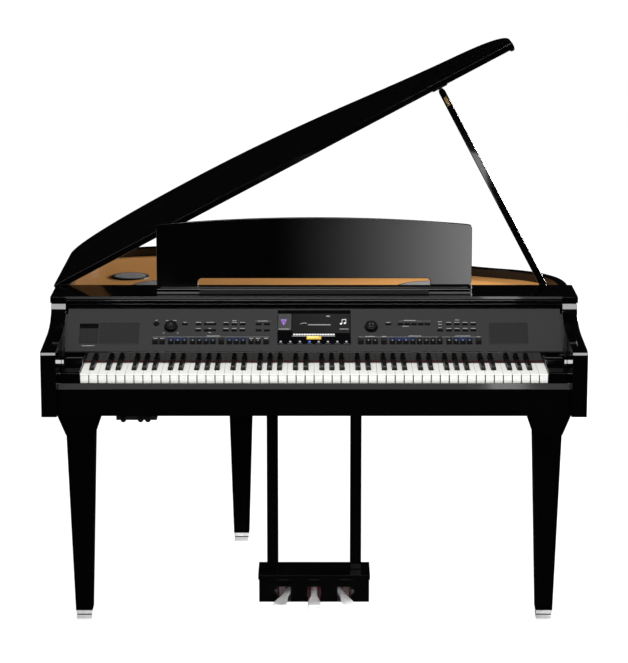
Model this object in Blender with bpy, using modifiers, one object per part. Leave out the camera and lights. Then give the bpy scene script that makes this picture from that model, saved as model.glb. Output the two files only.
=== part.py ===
"""A digital grand piano at its real size: a polished case on three legs, a propped lid, a folded key cover,
88 keys, a sloped control panel, a music rest and a pedal lyre.

Case coordinates, in metres: X to the right from the middle of the keyboard, Y to the back from the front of
the arms, and Z up from the floor. Everything hangs from one empty, which sets the middle of the whole outline
over the world origin.
"""

import math

import bmesh
import bpy
from mathutils import Matrix, Vector
from mathutils.geometry import interpolate_bezier

# Driving dimensions, in metres
WIDTH = 1.429  # top board and lid
DEPTH = 1.237  # front of the arms to the tail of the lid
GAP = 0.0004  # between pieces that touch
OVERHANG = 0.003  # top board and lid past the case sides
CASE_HALF = WIDTH / 2 - OVERHANG

CASE_BOTTOM = 0.671
CASE_TOP = 0.913
ARM_DEPTH = 0.306
ARM_THICK = 0.040
ARM_INSIDE = CASE_HALF - ARM_THICK
SIDE_THICK = 0.022
BASS_SIDE_END = 0.985  # where the straight side gives way to the bent rim

TOP_BOARD_FRONT = 0.308
TOP_BOARD_BACK = 0.4805
TOP_BOARD_TOP = 0.932

LID_AXIS_Z = 0.9145
LID_THICK = 0.0175
LID_FRONT = 0.482
LID_ANGLE = math.radians(28.06)

KEYBED_FRONT = 0.0424
KEYBED_BACK = 0.480
KEYBED_BOTTOM = 0.667
KEYBED_TOP = 0.697

WHITE_KEYS = 52
KEY_PITCH = 0.0236
KEY_GAP = 0.001
KEY_FRONT = 0.045
KEY_TOP = 0.776
KEY_BOTTOM = 0.752
KEY_END = 0.2745
KEY_PIVOT = (0.270, 0.764)
BLACK_FRONT = 0.0935
BLACK_TOP = 0.788
BLACK_CAP_BACK = 0.1755
BLACK_WIDTH = 0.0126
BLACK_TOP_WIDTH = 0.0098
NOTCH_WIDTH = 0.014
NOTCH_FRONT = 0.0915
FIRST_MOVING = 23  # the C in the middle of the keyboard, counted in white keys

PANEL_MIDDLE = (0.2425, 0.8535)
PANEL_SLOPE = math.radians(38.96)
PANEL_HALF = 0.664
PANEL_HALF_DEPTH = 0.074
PANEL_THICK = 0.006

SOUNDBOARD_TOP = 0.888
LEG_X, LEG_Y = 0.643, 0.388
REAR_LEG = (-0.224, 1.160)
PEDAL_YAW = math.radians(11)


def clear_scene():
    for obj in list(bpy.data.objects):
        bpy.data.objects.remove(obj, do_unlink=True)


clear_scene()
piano = bpy.data.collections.new("digital_grand_piano")
cutters = bpy.data.collections.new("cutters")
bpy.context.scene.collection.children.link(piano)
bpy.context.scene.collection.children.link(cutters)


def finish(name, colour, roughness, metallic=0.0):
    """A material with the piece's own colour."""
    material = bpy.data.materials.new(name)
    material.use_nodes = True
    shader = material.node_tree.nodes["Principled BSDF"]
    shader.inputs["Base Color"].default_value = (*colour, 1)
    shader.inputs["Roughness"].default_value = roughness
    shader.inputs["Metallic"].default_value = metallic
    return material


def empty(name, location, rotation=(0, 0, 0), parent=None):
    obj = bpy.data.objects.new(name, None)
    piano.objects.link(obj)
    obj.location = location
    obj.rotation_euler = rotation
    obj.parent = parent
    return obj


# The open lid's hinged edge turns outwards past the bass side, so the case sits that much to the right.
lid_past_side = LID_THICK * math.sin(LID_ANGLE)
case = empty("case_frame", (lid_past_side / 2, -DEPTH / 2, 0))


def add(name, mesh, material, origin=(0, 0, 0), rotation=(0, 0, 0), parent=None, group=piano):
    """Puts a mesh, whose points are counted from its origin, into the model."""
    obj = bpy.data.objects.new(name, mesh)
    group.objects.link(obj)
    obj.parent = parent or case
    obj.location = origin
    obj.rotation_euler = rotation
    if material:
        mesh.materials.append(material)
    return obj


def mesh_of(name, bm, origin=(0, 0, 0)):
    bmesh.ops.translate(bm, verts=bm.verts, vec=-Vector(origin))
    bmesh.ops.recalc_face_normals(bm, faces=bm.faces)
    mesh = bpy.data.meshes.new(name)
    bm.to_mesh(mesh)
    bm.free()
    return mesh


def add_box(bm, low, high):
    low, high = Vector(low), Vector(high)
    place = Matrix.Translation((low + high) / 2) @ Matrix.Diagonal((*(high - low), 1))
    bmesh.ops.create_cube(bm, size=1, matrix=place)


def block(name, low, high, material, origin=None, **placing):
    """A rectangular piece between two corners."""
    bm = bmesh.new()
    add_box(bm, low, high)
    origin = origin or (Vector(low) + Vector(high)) / 2
    return add(name, mesh_of(name, bm, origin), material, origin, **placing)


PLANES = {
    "XY": Matrix(((1, 0, 0), (0, 1, 0), (0, 0, 1))),
    "YZ": Matrix(((0, 0, 1), (1, 0, 0), (0, 1, 0))),
    "XZ": Matrix(((1, 0, 0), (0, 0, 1), (0, 1, 0))),
}


def flat_mesh(name, outlines, low, high, plane, origin=(0, 0, 0)):
    """Flat outlines in a plane, given thickness from low to high across it."""
    curve = bpy.data.curves.new(name, "CURVE")
    curve.dimensions = "2D"
    curve.fill_mode = "BOTH"
    curve.extrude = (high - low) / 2
    for outline in outlines:
        spline = curve.splines.new("POLY")
        spline.points.add(len(outline) - 1)
        for point, (u, v) in zip(spline.points, outline):
            point.co = (u, v, 0, 1)
        spline.use_cyclic_u = True
    drawn = bpy.data.objects.new(name, curve)
    cutters.objects.link(drawn)
    mesh = bpy.data.meshes.new_from_object(drawn.evaluated_get(bpy.context.evaluated_depsgraph_get()))
    bpy.data.objects.remove(drawn)
    bm = bmesh.new()
    bm.from_mesh(mesh)
    bpy.data.meshes.remove(mesh)
    bmesh.ops.remove_doubles(bm, verts=bm.verts, dist=1e-6)
    bmesh.ops.dissolve_limit(bm, angle_limit=math.radians(0.5), verts=bm.verts, edges=bm.edges)
    bmesh.ops.translate(bm, verts=bm.verts, vec=(0, 0, (low + high) / 2))
    bmesh.ops.transform(bm, matrix=PLANES[plane].to_4x4(), verts=bm.verts)
    return mesh_of(name, bm, origin)


def slab(name, outline, low, high, plane, material, origin=(0, 0, 0), **placing):
    return add(name, flat_mesh(name, [outline], low, high, plane, origin), material, origin, **placing)


def turned(name, profile, steps, material, origin, **placing):
    """A piece turned about its own Z: the profile runs from the axis at the top, out, down and back in."""
    mesh = bpy.data.meshes.new(name)
    points = [(radius, 0, height) for radius, height in profile]
    mesh.from_pydata(points, [(i, i + 1) for i in range(len(points) - 1)], [])
    obj = add(name, mesh, material, origin, **placing)
    screw = obj.modifiers.new("turn", "SCREW")
    screw.steps = screw.render_steps = steps
    screw.use_merge_vertices = True
    screw.merge_threshold = 1e-5
    screw.use_smooth_shade = steps > 4
    return obj


def helper(name, mesh, origin=(0, 0, 0), parent=None, rotation=(0, 0, 0)):
    """A shape that only cuts or joins."""
    obj = add(name, mesh, None, origin, rotation, parent, cutters)
    obj.hide_render = True
    obj.display_type = "WIRE"
    return obj


def combine(target, tool, operation):
    modifier = target.modifiers.new(tool.name, "BOOLEAN")
    modifier.operation = operation
    modifier.object = tool


def boxes(name, corners, **placing):
    bm = bmesh.new()
    for low, high in corners:
        add_box(bm, low, high)
    return helper(name, mesh_of(name, bm), **placing)


def arc(centre, radius, start, end, steps):
    """Points on a round stretch of an outline, angles in degrees."""
    angles = [math.radians(start + (end - start) * i / steps) for i in range(steps + 1)]
    return [(centre[0] + radius * math.cos(a), centre[1] + radius * math.sin(a)) for a in angles]


polish = finish("polished_ebony", (0.006, 0.006, 0.007), 0.06)
plate = finish("panel_charcoal", (0.045, 0.045, 0.046), 0.5)
spruce = finish("soundboard_spruce", (0.62, 0.30, 0.09), 0.35)
underside = finish("black_paint", (0.02, 0.02, 0.02), 0.6)
ivory = finish("white_key", (0.80, 0.80, 0.76), 0.25)
ebony_key = finish("black_key", (0.012, 0.012, 0.012), 0.35)
chrome = finish("bright_metal", (0.80, 0.80, 0.82), 0.12, 1.0)
brass = finish("hinge_brass", (0.70, 0.52, 0.22), 0.25, 1.0)
rubbery = finish("button_black", (0.012, 0.012, 0.013), 0.3)
screen = finish("display_glass", (0.01, 0.01, 0.012), 0.05)
cone = finish("speaker_black", (0.03, 0.03, 0.032), 0.7)
board_green = finish("circuit_green", (0.02, 0.14, 0.06), 0.5)


# The case's plan: treble side, a round corner, the hollow waist, the tail, a round corner and the bass side.
# Each knot is a place, the direction of travel and how far the curve keeps it before and after.
KNOTS = (
    ((CASE_HALF, 0.585), (0, 1), 0.14, 0.14),
    ((0.553, 0.832), (-0.93, 0.36), 0.10, 0.11),
    ((0.213, 1.040), (-0.83, 0.56), 0.12, 0.17),
    ((-0.302, DEPTH - OVERHANG), (-1, 0), 0.19, 0.26),
    ((-CASE_HALF, BASS_SIDE_END), (0, -1), 0.16, 0.16),
)
PLAN_STEPS = 9


def case_plan():
    points = []
    for (here, way, _, after), (there, way_on, before, _) in zip(KNOTS, KNOTS[1:]):
        start, end = Vector(here), Vector(there)
        way, way_on = Vector(way).normalized(), Vector(way_on).normalized()
        stretch = interpolate_bezier(start, start + way * after, end - way_on * before, end, PLAN_STEPS + 1)
        points += [point.to_2d() for point in stretch][:-1]
    return points + [Vector(KNOTS[-1][0])]


def inset(distance):
    """The plan's curve moved inwards, or outwards where the distance is negative."""
    plan = case_plan()
    moved = []
    for i, point in enumerate(plan):
        way = (plan[min(i + 1, len(plan) - 1)] - plan[max(i - 1, 0)]).normalized()
        if i == 0 or i == len(plan) - 1:
            way = Vector((0, 1 if i == 0 else -1))
        moved.append((point.x - way.y * distance, point.y + way.x * distance))
    return moved


def closed_plan(distance, front):
    """The inset plan, cut straight across at the front."""
    curve = inset(distance)
    return [(curve[0][0], front), *curve, (curve[-1][0], front)]


# Arms: thick sides beside the keys, whose top edge sweeps up to the top board
def arm(name, inner, outer):
    front = [(0, CASE_BOTTOM), (0, 0.8372), (0.0016, 0.8424), (0.0045, 0.8444), (0.0125, 0.8455)]
    sweep = interpolate_bezier(
        Vector((0.150, 0.852, 0)), Vector((0.258, 0.856, 0)),
        Vector((0.290, 0.878, 0)), Vector((0.3005, 0.8945, 0)), 9,
    )
    outline = [*front, *[(p.x, p.y) for p in sweep], (ARM_DEPTH, CASE_TOP), (ARM_DEPTH, CASE_BOTTOM)]
    return slab(name, outline, inner, outer, "YZ", polish)


arm("left_arm", -CASE_HALF, -ARM_INSIDE)
arm("right_arm", ARM_INSIDE, CASE_HALF)

# Case sides, boards and the soundboard
bass_side = block(
    "bass_side",
    (-CASE_HALF, TOP_BOARD_FRONT, CASE_BOTTOM),
    (-CASE_HALF + SIDE_THICK, BASS_SIDE_END - GAP, CASE_TOP),
    polish,
)
band = [(CASE_HALF, TOP_BOARD_FRONT), *inset(0), *reversed(inset(SIDE_THICK))]
band.append((CASE_HALF - SIDE_THICK, TOP_BOARD_FRONT))
slab("bent_rim", band, CASE_BOTTOM, CASE_TOP, "XY", polish)

INSIDE = SIDE_THICK + GAP
BOTTOM_THICK, SOUNDBOARD_THICK = 0.012, 0.008
bottom_plan = closed_plan(INSIDE, KEYBED_BACK + GAP)
slab("bottom_board", bottom_plan, CASE_BOTTOM, CASE_BOTTOM + BOTTOM_THICK, "XY", underside)
sounding_plan = closed_plan(INSIDE, LID_FRONT)
soundboard = slab(
    "soundboard", sounding_plan, SOUNDBOARD_TOP - SOUNDBOARD_THICK, SOUNDBOARD_TOP, "XY", spruce
)

# The top board's underside has a pocket for the folded key cover.
COVER_HALF = ARM_INSIDE - 0.001
COVER_FRONT, COVER_BACK = 0.2985, 0.445
COVER_BOTTOM, COVER_TOP = 0.9015, 0.9265
top_board = block(
    "top_board",
    (-WIDTH / 2, TOP_BOARD_FRONT, CASE_TOP + GAP),
    (WIDTH / 2, TOP_BOARD_BACK, TOP_BOARD_TOP),
    polish,
)
PAST = 0.010  # how far a cutter runs out of the piece that it cuts
pocket_low = (-ARM_INSIDE, TOP_BOARD_FRONT - PAST, CASE_TOP - PAST)
pocket_high = (ARM_INSIDE, COVER_BACK + 0.003, COVER_TOP + 0.0005)
combine(top_board, boxes("cover_pocket", [(pocket_low, pocket_high)]), "DIFFERENCE")

# Two folded leaves with the seam between them along the front
cover_seam = 0.0006
cover_middle = (COVER_BOTTOM + COVER_TOP) / 2
cover_outline = [
    (COVER_FRONT + 0.002, COVER_BOTTOM),
    (COVER_BACK, COVER_BOTTOM),
    (COVER_BACK, COVER_TOP),
    (COVER_FRONT + 0.004, COVER_TOP),
    (COVER_FRONT, COVER_TOP - 0.004),
    (COVER_FRONT, cover_middle + cover_seam),
    (COVER_FRONT + 0.003, cover_middle),
    (COVER_FRONT, cover_middle - cover_seam),
    (COVER_FRONT, COVER_BOTTOM + 0.002),
]
slab("key_cover", cover_outline, -COVER_HALF, COVER_HALF, "YZ", polish)

# Keybed, key slip and the blocks at the ends of the keys
BED_HALF = ARM_INSIDE - GAP
block("keybed", (-BED_HALF, KEYBED_FRONT, KEYBED_BOTTOM), (BED_HALF, KEYBED_BACK, KEYBED_TOP), underside)
SLIP_FRONT, SLIP_BACK, SLIP_TOP = 0.030, 0.042, 0.753
slip_outline = [
    (SLIP_FRONT, KEYBED_BOTTOM), (SLIP_FRONT, 0.7425), (0.0365, SLIP_TOP), (SLIP_BACK, SLIP_TOP),
    (SLIP_BACK, KEYBED_BOTTOM),
]
slab("key_slip", slip_outline, -BED_HALF, BED_HALF, "YZ", polish)

CHEEK_INNER = WHITE_KEYS * KEY_PITCH / 2 + 2 * GAP
CHEEK_BACK = 0.179
cheek_outline = [
    (KEYBED_FRONT, KEYBED_TOP + GAP), (KEYBED_FRONT, 0.778), (0.0455, 0.781), (0.140, 0.783),
    (0.148, 0.792), (0.156, 0.795), (CHEEK_BACK, 0.796), (CHEEK_BACK, KEYBED_TOP + GAP),
]
slab("left_cheek_block", cheek_outline, -BED_HALF, -CHEEK_INNER, "YZ", polish)
slab("right_cheek_block", cheek_outline, CHEEK_INNER, BED_HALF, "YZ", polish)
STRIP_BOTTOM, STRIP_TOP, STRIP_THICK = 0.7795, 0.8065, 0.005
strip_low = (-BED_HALF, CHEEK_BACK + 0.0005, STRIP_BOTTOM)
block("fallboard_strip", strip_low, (BED_HALF, strip_low[1] + STRIP_THICK, STRIP_TOP), polish)

# Keys. Black keys stand off the joints between white keys by these amounts, counted from each C.
BLACK_SHIFT = {1: -0.0019, 2: 0.0019, 4: -0.0030, 5: 0.0, 6: 0.0030}
WHITE_NAMES = ("c", "d", "e", "f", "g", "a", "b")
KEYBOARD_LEFT = -WHITE_KEYS * KEY_PITCH / 2
moving_whites = range(FIRST_MOVING, FIRST_MOVING + 7)


def black_at(joint):
    """The middle of the black key over the joint left of this white key, or None."""
    step = (joint - 2) % 7
    if step not in BLACK_SHIFT or not 0 < joint < WHITE_KEYS:
        return None
    return KEYBOARD_LEFT + joint * KEY_PITCH + BLACK_SHIFT[step]


def white_outline(index, back):
    """One white key seen from above, from its back left corner round to its back right corner."""
    left = KEYBOARD_LEFT + index * KEY_PITCH + KEY_GAP / 2
    right = left + KEY_PITCH - KEY_GAP
    black_left, black_right = black_at(index), black_at(index + 1)
    outline = [(left, KEY_FRONT), (right, KEY_FRONT)]
    if black_left is None:
        outline = [(left, back), *outline]
    else:
        tail = black_left + NOTCH_WIDTH / 2
        outline = [(tail, back), (tail, NOTCH_FRONT), (left, NOTCH_FRONT), *outline]
    if black_right is None:
        return [*outline, (right, back)]
    tail = black_right - NOTCH_WIDTH / 2
    return [*outline, (right, NOTCH_FRONT), (tail, NOTCH_FRONT), (tail, back)]


def black_key(bm, middle, bottom):
    """A black key: a cap with a sloping front and sides, and a stem that runs back under the panel."""
    side = [
        (BLACK_FRONT, bottom), (BLACK_FRONT, KEY_TOP + 0.001), (BLACK_FRONT + 0.005, BLACK_TOP),
        (BLACK_CAP_BACK, BLACK_TOP), (BLACK_CAP_BACK, KEY_TOP + 0.0005), (KEY_END, KEY_TOP + 0.0005),
        (KEY_END, bottom),
    ]
    rings = []
    for sign in (-1, 1):
        half = [BLACK_TOP_WIDTH / 2 if z == BLACK_TOP else BLACK_WIDTH / 2 for _, z in side]
        rings.append([bm.verts.new((middle + sign * w, y, z)) for w, (y, z) in zip(half, side)])
    bm.faces.new(rings[0])
    bm.faces.new(rings[1])
    for i in range(len(side)):
        j = (i + 1) % len(side)
        bm.faces.new((rings[0][i], rings[0][j], rings[1][j], rings[1][i]))


RAIL_FRONT, RAIL_BACK = 0.2756, 0.295
pivot = (0, *KEY_PIVOT)

# The fixed white keys are one comb, whose back rail stands on the keybed.
white_bank = block(
    "white_keys",
    (KEYBOARD_LEFT, RAIL_FRONT, KEYBED_TOP + GAP),
    (-KEYBOARD_LEFT, RAIL_BACK, KEY_TOP - 0.001),
    ivory,
)
fixed_whites = [white_outline(i, RAIL_FRONT + 0.005) for i in range(WHITE_KEYS) if i not in moving_whites]
white_comb = flat_mesh("fixed_white_keys", fixed_whites, KEY_BOTTOM, KEY_TOP, "XY")
combine(white_bank, helper("fixed_white_keys", white_comb), "UNION")

for step, note in enumerate(WHITE_NAMES):
    outline = white_outline(FIRST_MOVING + step, KEY_END)
    slab("key_" + note, outline, KEY_BOTTOM, KEY_TOP, "XY", ivory, origin=pivot)

# The fixed black keys stand on a rail of their own, under the white keys' tails.
BLACK_RAIL_END = -KEYBOARD_LEFT - 0.001
BLACK_RAIL_FRONT, BLACK_RAIL_BACK = 0.232, 0.262
BLACK_RAIL_TOP, BLACK_STEM_BOTTOM = 0.7475, 0.744
black_rail = block(
    "black_keys",
    (-BLACK_RAIL_END, BLACK_RAIL_FRONT, KEYBED_TOP + GAP),
    (BLACK_RAIL_END, BLACK_RAIL_BACK, BLACK_RAIL_TOP),
    ebony_key,
)
fixed_blacks = bmesh.new()
for joint in range(1, WHITE_KEYS):
    middle = black_at(joint)
    if middle is None:
        continue
    if joint - 1 in moving_whites and joint in moving_whites:
        name = "key_" + WHITE_NAMES[joint - 1 - FIRST_MOVING] + "_sharp"
        bm = bmesh.new()
        black_key(bm, middle, KEY_BOTTOM)
        add(name, mesh_of(name, bm, pivot), ebony_key, pivot)
    else:
        black_key(fixed_blacks, middle, BLACK_STEM_BOTTOM)
combine(black_rail, helper("fixed_black_keys", mesh_of("fixed_black_keys", fixed_blacks)), "UNION")

# Control panel. Its own frame has X to the right, Y up the slope and Z out of the surface.
panel_frame = empty("panel_frame", (0, *PANEL_MIDDLE), (PANEL_SLOPE, 0, 0), case)
control_panel = block(
    "control_panel",
    (-PANEL_HALF, -PANEL_HALF_DEPTH, -PANEL_THICK),
    (PANEL_HALF, PANEL_HALF_DEPTH, 0),
    plate,
    parent=panel_frame,
)
TAB_HALF_DEPTH, TAB_INNER = 0.060, PANEL_HALF - 0.030
TAB_BOTTOM, TAB_TOP = -PANEL_THICK - 0.003, -PANEL_THICK + 0.001
end_tabs = boxes(
    "panel_end_tabs",
    [
        ((TAB_INNER, -TAB_HALF_DEPTH, TAB_BOTTOM), (BED_HALF, TAB_HALF_DEPTH, TAB_TOP)),
        ((-BED_HALF, -TAB_HALF_DEPTH, TAB_BOTTOM), (-TAB_INNER, TAB_HALF_DEPTH, TAB_TOP)),
    ],
    parent=panel_frame,
)
combine(control_panel, end_tabs, "UNION")
DISPLAY = ((-0.098, -0.0503), (0.098, 0.0689))
DISPLAY_BACK, DISPLAY_FACE = -0.024, -0.001
block("display", (*DISPLAY[0], DISPLAY_BACK), (*DISPLAY[1], DISPLAY_FACE), screen, parent=panel_frame)

# Push buttons: the middle of each cap along X, grouped as on the panel
ROW_PITCH = 0.0181
LOWER_CAP = (0.0150, 0.0220)
UPPER_CAP = (0.0150, 0.0058)
LOWER_ROW_Y = -0.0385
UPPER_ROWS_Y = (0.0195, -0.0020)
CAP_PROUD = 0.002
WEB_TOP = -PANEL_THICK - 0.0005
WEB_THICK = 0.002
BUTTON_CLEARANCE = 0.0004


def run_of(first, count):
    return [first + i * ROW_PITCH for i in range(count)]


lower_left = [*run_of(-0.4252, 2), *run_of(-0.3837, 3), *run_of(-0.3252, 4), -0.2486]
lower_left += [*run_of(-0.2264, 3), *run_of(-0.1684, 2), -0.1285]
lower_right = [0.1252, *run_of(0.1455, 2), 0.1869, *run_of(0.2096, 8), *run_of(0.3618, 4), 0.4403]


def caps_of(places, row, size):
    return [((x - size[0] / 2, row - size[1] / 2), (x + size[0] / 2, row + size[1] / 2)) for x in places]


upper_left_caps = caps_of([-0.3477], UPPER_ROWS_Y[0], UPPER_CAP)
upper_right_caps = caps_of([0.1997, *run_of(0.2324, 5)], UPPER_ROWS_Y[0], UPPER_CAP)
upper_right_caps += caps_of([0.3383], UPPER_ROWS_Y[1], UPPER_CAP)
for row in UPPER_ROWS_Y:
    upper_left_caps += caps_of([-0.3113], row, UPPER_CAP)
    upper_left_caps += caps_of([-0.2801], row, (0.033, UPPER_CAP[1]))
    upper_left_caps += caps_of([-0.2370, -0.2147, -0.1927, -0.1490, -0.1270], row, UPPER_CAP)
    upper_right_caps += caps_of([0.3623, 0.3843, 0.4060, 0.4278], row, UPPER_CAP)

button_strips = {
    "lower_left_buttons": caps_of(lower_left, LOWER_ROW_Y, LOWER_CAP),
    "lower_right_buttons": caps_of(lower_right, LOWER_ROW_Y, LOWER_CAP),
    "upper_left_buttons": upper_left_caps,
    "upper_right_buttons": upper_right_caps,
}
POWER_BUTTON = (-0.4247, 0.0212)
POWER_RADIUS = 0.0074
VOLUME_DIAL = (-0.3850, 0.0100)
DATA_DIAL = (0.1535, 0.0095)
SHAFT_RADIUS = 0.004
HOLE_CLEARANCE = 0.0006

panel_holes = bmesh.new()
HOLE_BOTTOM = -2 * PAST
for caps in button_strips.values():
    for low, high in caps:
        wide = Vector((BUTTON_CLEARANCE, BUTTON_CLEARANCE))
        add_box(panel_holes, (*(Vector(low) - wide), HOLE_BOTTOM), (*(Vector(high) + wide), PAST))
for (x, y), radius in ((POWER_BUTTON, POWER_RADIUS), (VOLUME_DIAL, SHAFT_RADIUS), (DATA_DIAL, SHAFT_RADIUS)):
    bmesh.ops.create_cone(
        panel_holes, cap_ends=True, segments=20, radius1=radius + HOLE_CLEARANCE,
        radius2=radius + HOLE_CLEARANCE, depth=4 * PAST, matrix=Matrix.Translation((x, y, 0)),
    )
add_box(
    panel_holes,
    (DISPLAY[0][0] - GAP, DISPLAY[0][1] - GAP, HOLE_BOTTOM),
    (DISPLAY[1][0] + GAP, DISPLAY[1][1] + GAP, PAST),
)
panel_tool = helper("panel_holes", mesh_of("panel_holes", panel_holes), parent=panel_frame)
combine(control_panel, panel_tool, "DIFFERENCE")

WEB_MARGIN = 0.001
for strip, caps in button_strips.items():
    lows, highs = zip(*caps)
    left, front = [min(line) - WEB_MARGIN for line in zip(*lows)]
    right, back = [max(line) + WEB_MARGIN for line in zip(*highs)]
    web_low, web_high = (left, front, WEB_TOP - WEB_THICK), (right, back, WEB_TOP)
    web = block(strip, web_low, web_high, rubbery, parent=panel_frame)
    cap_tool = boxes(
        strip + "_caps",
        [((*low, WEB_TOP - WEB_THICK / 2), (*high, CAP_PROUD)) for low, high in caps],
        parent=panel_frame,
    )
    combine(web, cap_tool, "UNION")

POWER_TOP, POWER_SHOULDER, POWER_STEM_END = 0.0014, -0.0045, -0.012
button_profile = [
    (0, POWER_TOP), (POWER_RADIUS - 0.001, POWER_TOP), (POWER_RADIUS, POWER_TOP - 0.0008),
    (POWER_RADIUS, POWER_SHOULDER), (SHAFT_RADIUS, POWER_SHOULDER), (SHAFT_RADIUS, POWER_STEM_END),
    (0, POWER_STEM_END),
]
turned("power_button", button_profile, 20, rubbery, (*POWER_BUTTON, 0), parent=panel_frame)
DIAL_BOTTOM, DIAL_HOLLOW, DIAL_TOP, SHAFT_END = 0.0006, 0.0085, 0.0105, -0.014
dial_profile = [
    (0, DIAL_HOLLOW), (0.0105, DIAL_HOLLOW), (0.0125, DIAL_TOP), (0.0150, DIAL_TOP), (0.0163, 0.0090),
    (0.0165, DIAL_BOTTOM), (SHAFT_RADIUS, DIAL_BOTTOM), (SHAFT_RADIUS, SHAFT_END), (0, SHAFT_END),
]
turned("volume_dial", dial_profile, 32, rubbery, (*VOLUME_DIAL, 0), parent=panel_frame)
turned("data_dial", dial_profile, 32, rubbery, (*DATA_DIAL, 0), parent=panel_frame)

# Speakers stand in holes in the soundboard, each with its rim on top of the board.
SPEAKERS = {
    "left_woofer": ((-0.430, 0.672), 0.094),
    "right_woofer": ((0.330, 0.655), 0.100),
    "left_midrange": ((-0.535, 0.835), 0.055),
}
RIM_TOP, MAGNET_THICK = 0.004, 0.020
for name, ((x, y), radius) in SPEAKERS.items():
    hole = bmesh.new()
    bmesh.ops.create_cone(
        hole, cap_ends=True, segments=32, radius1=radius - 0.010, radius2=radius - 0.010, depth=0.05,
        matrix=Matrix.Translation((x, y, SOUNDBOARD_TOP)),
    )
    combine(soundboard, helper(name + "_hole", mesh_of(name + "_hole", hole)), "DIFFERENCE")
    throat = radius - 0.011
    magnet = 0.55 * radius
    magnet_top = -magnet - MAGNET_THICK
    magnet_bottom = magnet_top - MAGNET_THICK
    profile = [
        (0, -0.30 * radius), (0.30 * radius, -0.34 * radius), (radius - 0.020, -0.004),
        (radius - 0.014, RIM_TOP), (radius - 0.002, RIM_TOP), (radius, RIM_TOP - 0.0015), (radius, GAP),
        (throat, GAP), (throat, -0.012), (magnet, magnet_top), (magnet, magnet_bottom), (0, magnet_bottom),
    ]
    turned(name, profile, 32, cone, (x, y, SOUNDBOARD_TOP))

# The circuit board with its transformer, heat sink and amplifier block stands on the keybed behind the keys.
BOARD_HALF, BOARD_FRONT, BOARD_BACK, BOARD_TOP = 0.260, 0.315, 0.455, KEYBED_TOP + 0.006
PARTS_BOTTOM = BOARD_TOP - 0.003
board_low = (-BOARD_HALF, BOARD_FRONT, KEYBED_TOP + GAP)
main_board = block("main_board", board_low, (BOARD_HALF, BOARD_BACK, BOARD_TOP), board_green)
transformer = ((-0.235, 0.335, PARTS_BOTTOM), (-0.155, 0.415, 0.757))
heat_sink = ((-0.110, 0.330, PARTS_BOTTOM), (0.040, 0.350, 0.740))
amplifier = ((0.080, 0.340, PARTS_BOTTOM), (0.180, 0.430, 0.716))
combine(main_board, boxes("board_parts", [transformer, heat_sink, amplifier]), "UNION")

# Headphone and microphone sockets under the bass end of the keybed
JACK_FRONT, JACK_BOTTOM = 0.056, 0.650
SOCKET_RADIUS, SOCKET_LENGTH = 0.0075, 0.012
jack_low = (-0.5206, JACK_FRONT, JACK_BOTTOM)
jack_box = block("jack_box", jack_low, (-0.4140, 0.120, KEYBED_BOTTOM - GAP), underside)
sockets = bmesh.new()
for x in (-0.5016, -0.4562, -0.4371):
    place = Matrix.Translation((x, JACK_FRONT - 0.0005, JACK_BOTTOM + 0.0028))
    bmesh.ops.create_cone(
        sockets, cap_ends=True, segments=16, radius1=SOCKET_RADIUS, radius2=SOCKET_RADIUS,
        depth=SOCKET_LENGTH, matrix=place @ Matrix.Rotation(math.pi / 2, 4, "X"),
    )
combine(jack_box, helper("sockets", mesh_of("sockets", sockets)), "UNION")

# Lid, drawn closed about its hinge line and turned up to rest on the stay
lid_frame = empty("lid_frame", (-WIDTH / 2, 0, LID_AXIS_Z), (0, -LID_ANGLE, 0), case)
lid_outline = [(x + WIDTH / 2, y) for x, y in closed_plan(-OVERHANG, LID_FRONT)]
lid = slab("lid", lid_outline, 0, LID_THICK, "XY", polish, parent=lid_frame)

HINGE_FROM, HINGE_TO = 0.520, 0.960
HINGE_RADIUS = 0.0035


def rod_along_y(bm, x, z, radius, start, end, segments=16):
    place = Matrix.Translation((x, (start + end) / 2, z)) @ Matrix.Rotation(math.pi / 2, 4, "X")
    bmesh.ops.create_cone(
        bm, cap_ends=True, segments=segments, radius1=radius, radius2=radius, depth=end - start, matrix=place
    )


barrel = bmesh.new()
rod_along_y(barrel, 0, 0, HINGE_RADIUS, HINGE_FROM, HINGE_TO)
lid_hinge = add("lid_hinge", mesh_of("lid_hinge", barrel), brass, (-WIDTH / 2, 0, LID_AXIS_Z))
leaf_low = (-CASE_HALF - 0.0018, HINGE_FROM, 0.894)
leaf = boxes("hinge_leaf", [(leaf_low, (-CASE_HALF - GAP, HINGE_TO, CASE_TOP - 0.0005))])
combine(lid_hinge, leaf, "UNION")
lid_notch = bmesh.new()
NOTCH_FROM, NOTCH_TO = HINGE_FROM - 0.001, HINGE_TO + 0.001
rod_along_y(lid_notch, 0, 0, HINGE_RADIUS + HOLE_CLEARANCE, NOTCH_FROM, NOTCH_TO)
combine(lid, helper("lid_notch", mesh_of("lid_notch", lid_notch), parent=lid_frame), "DIFFERENCE")
notch_low = (-CASE_HALF - PAST, NOTCH_FROM, CASE_TOP - 0.003)
notch_high = (-CASE_HALF + 0.002, NOTCH_TO, CASE_TOP + PAST)
side_notch = boxes("side_notch", [(notch_low, notch_high)])
combine(bass_side, side_notch, "DIFFERENCE")

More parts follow.
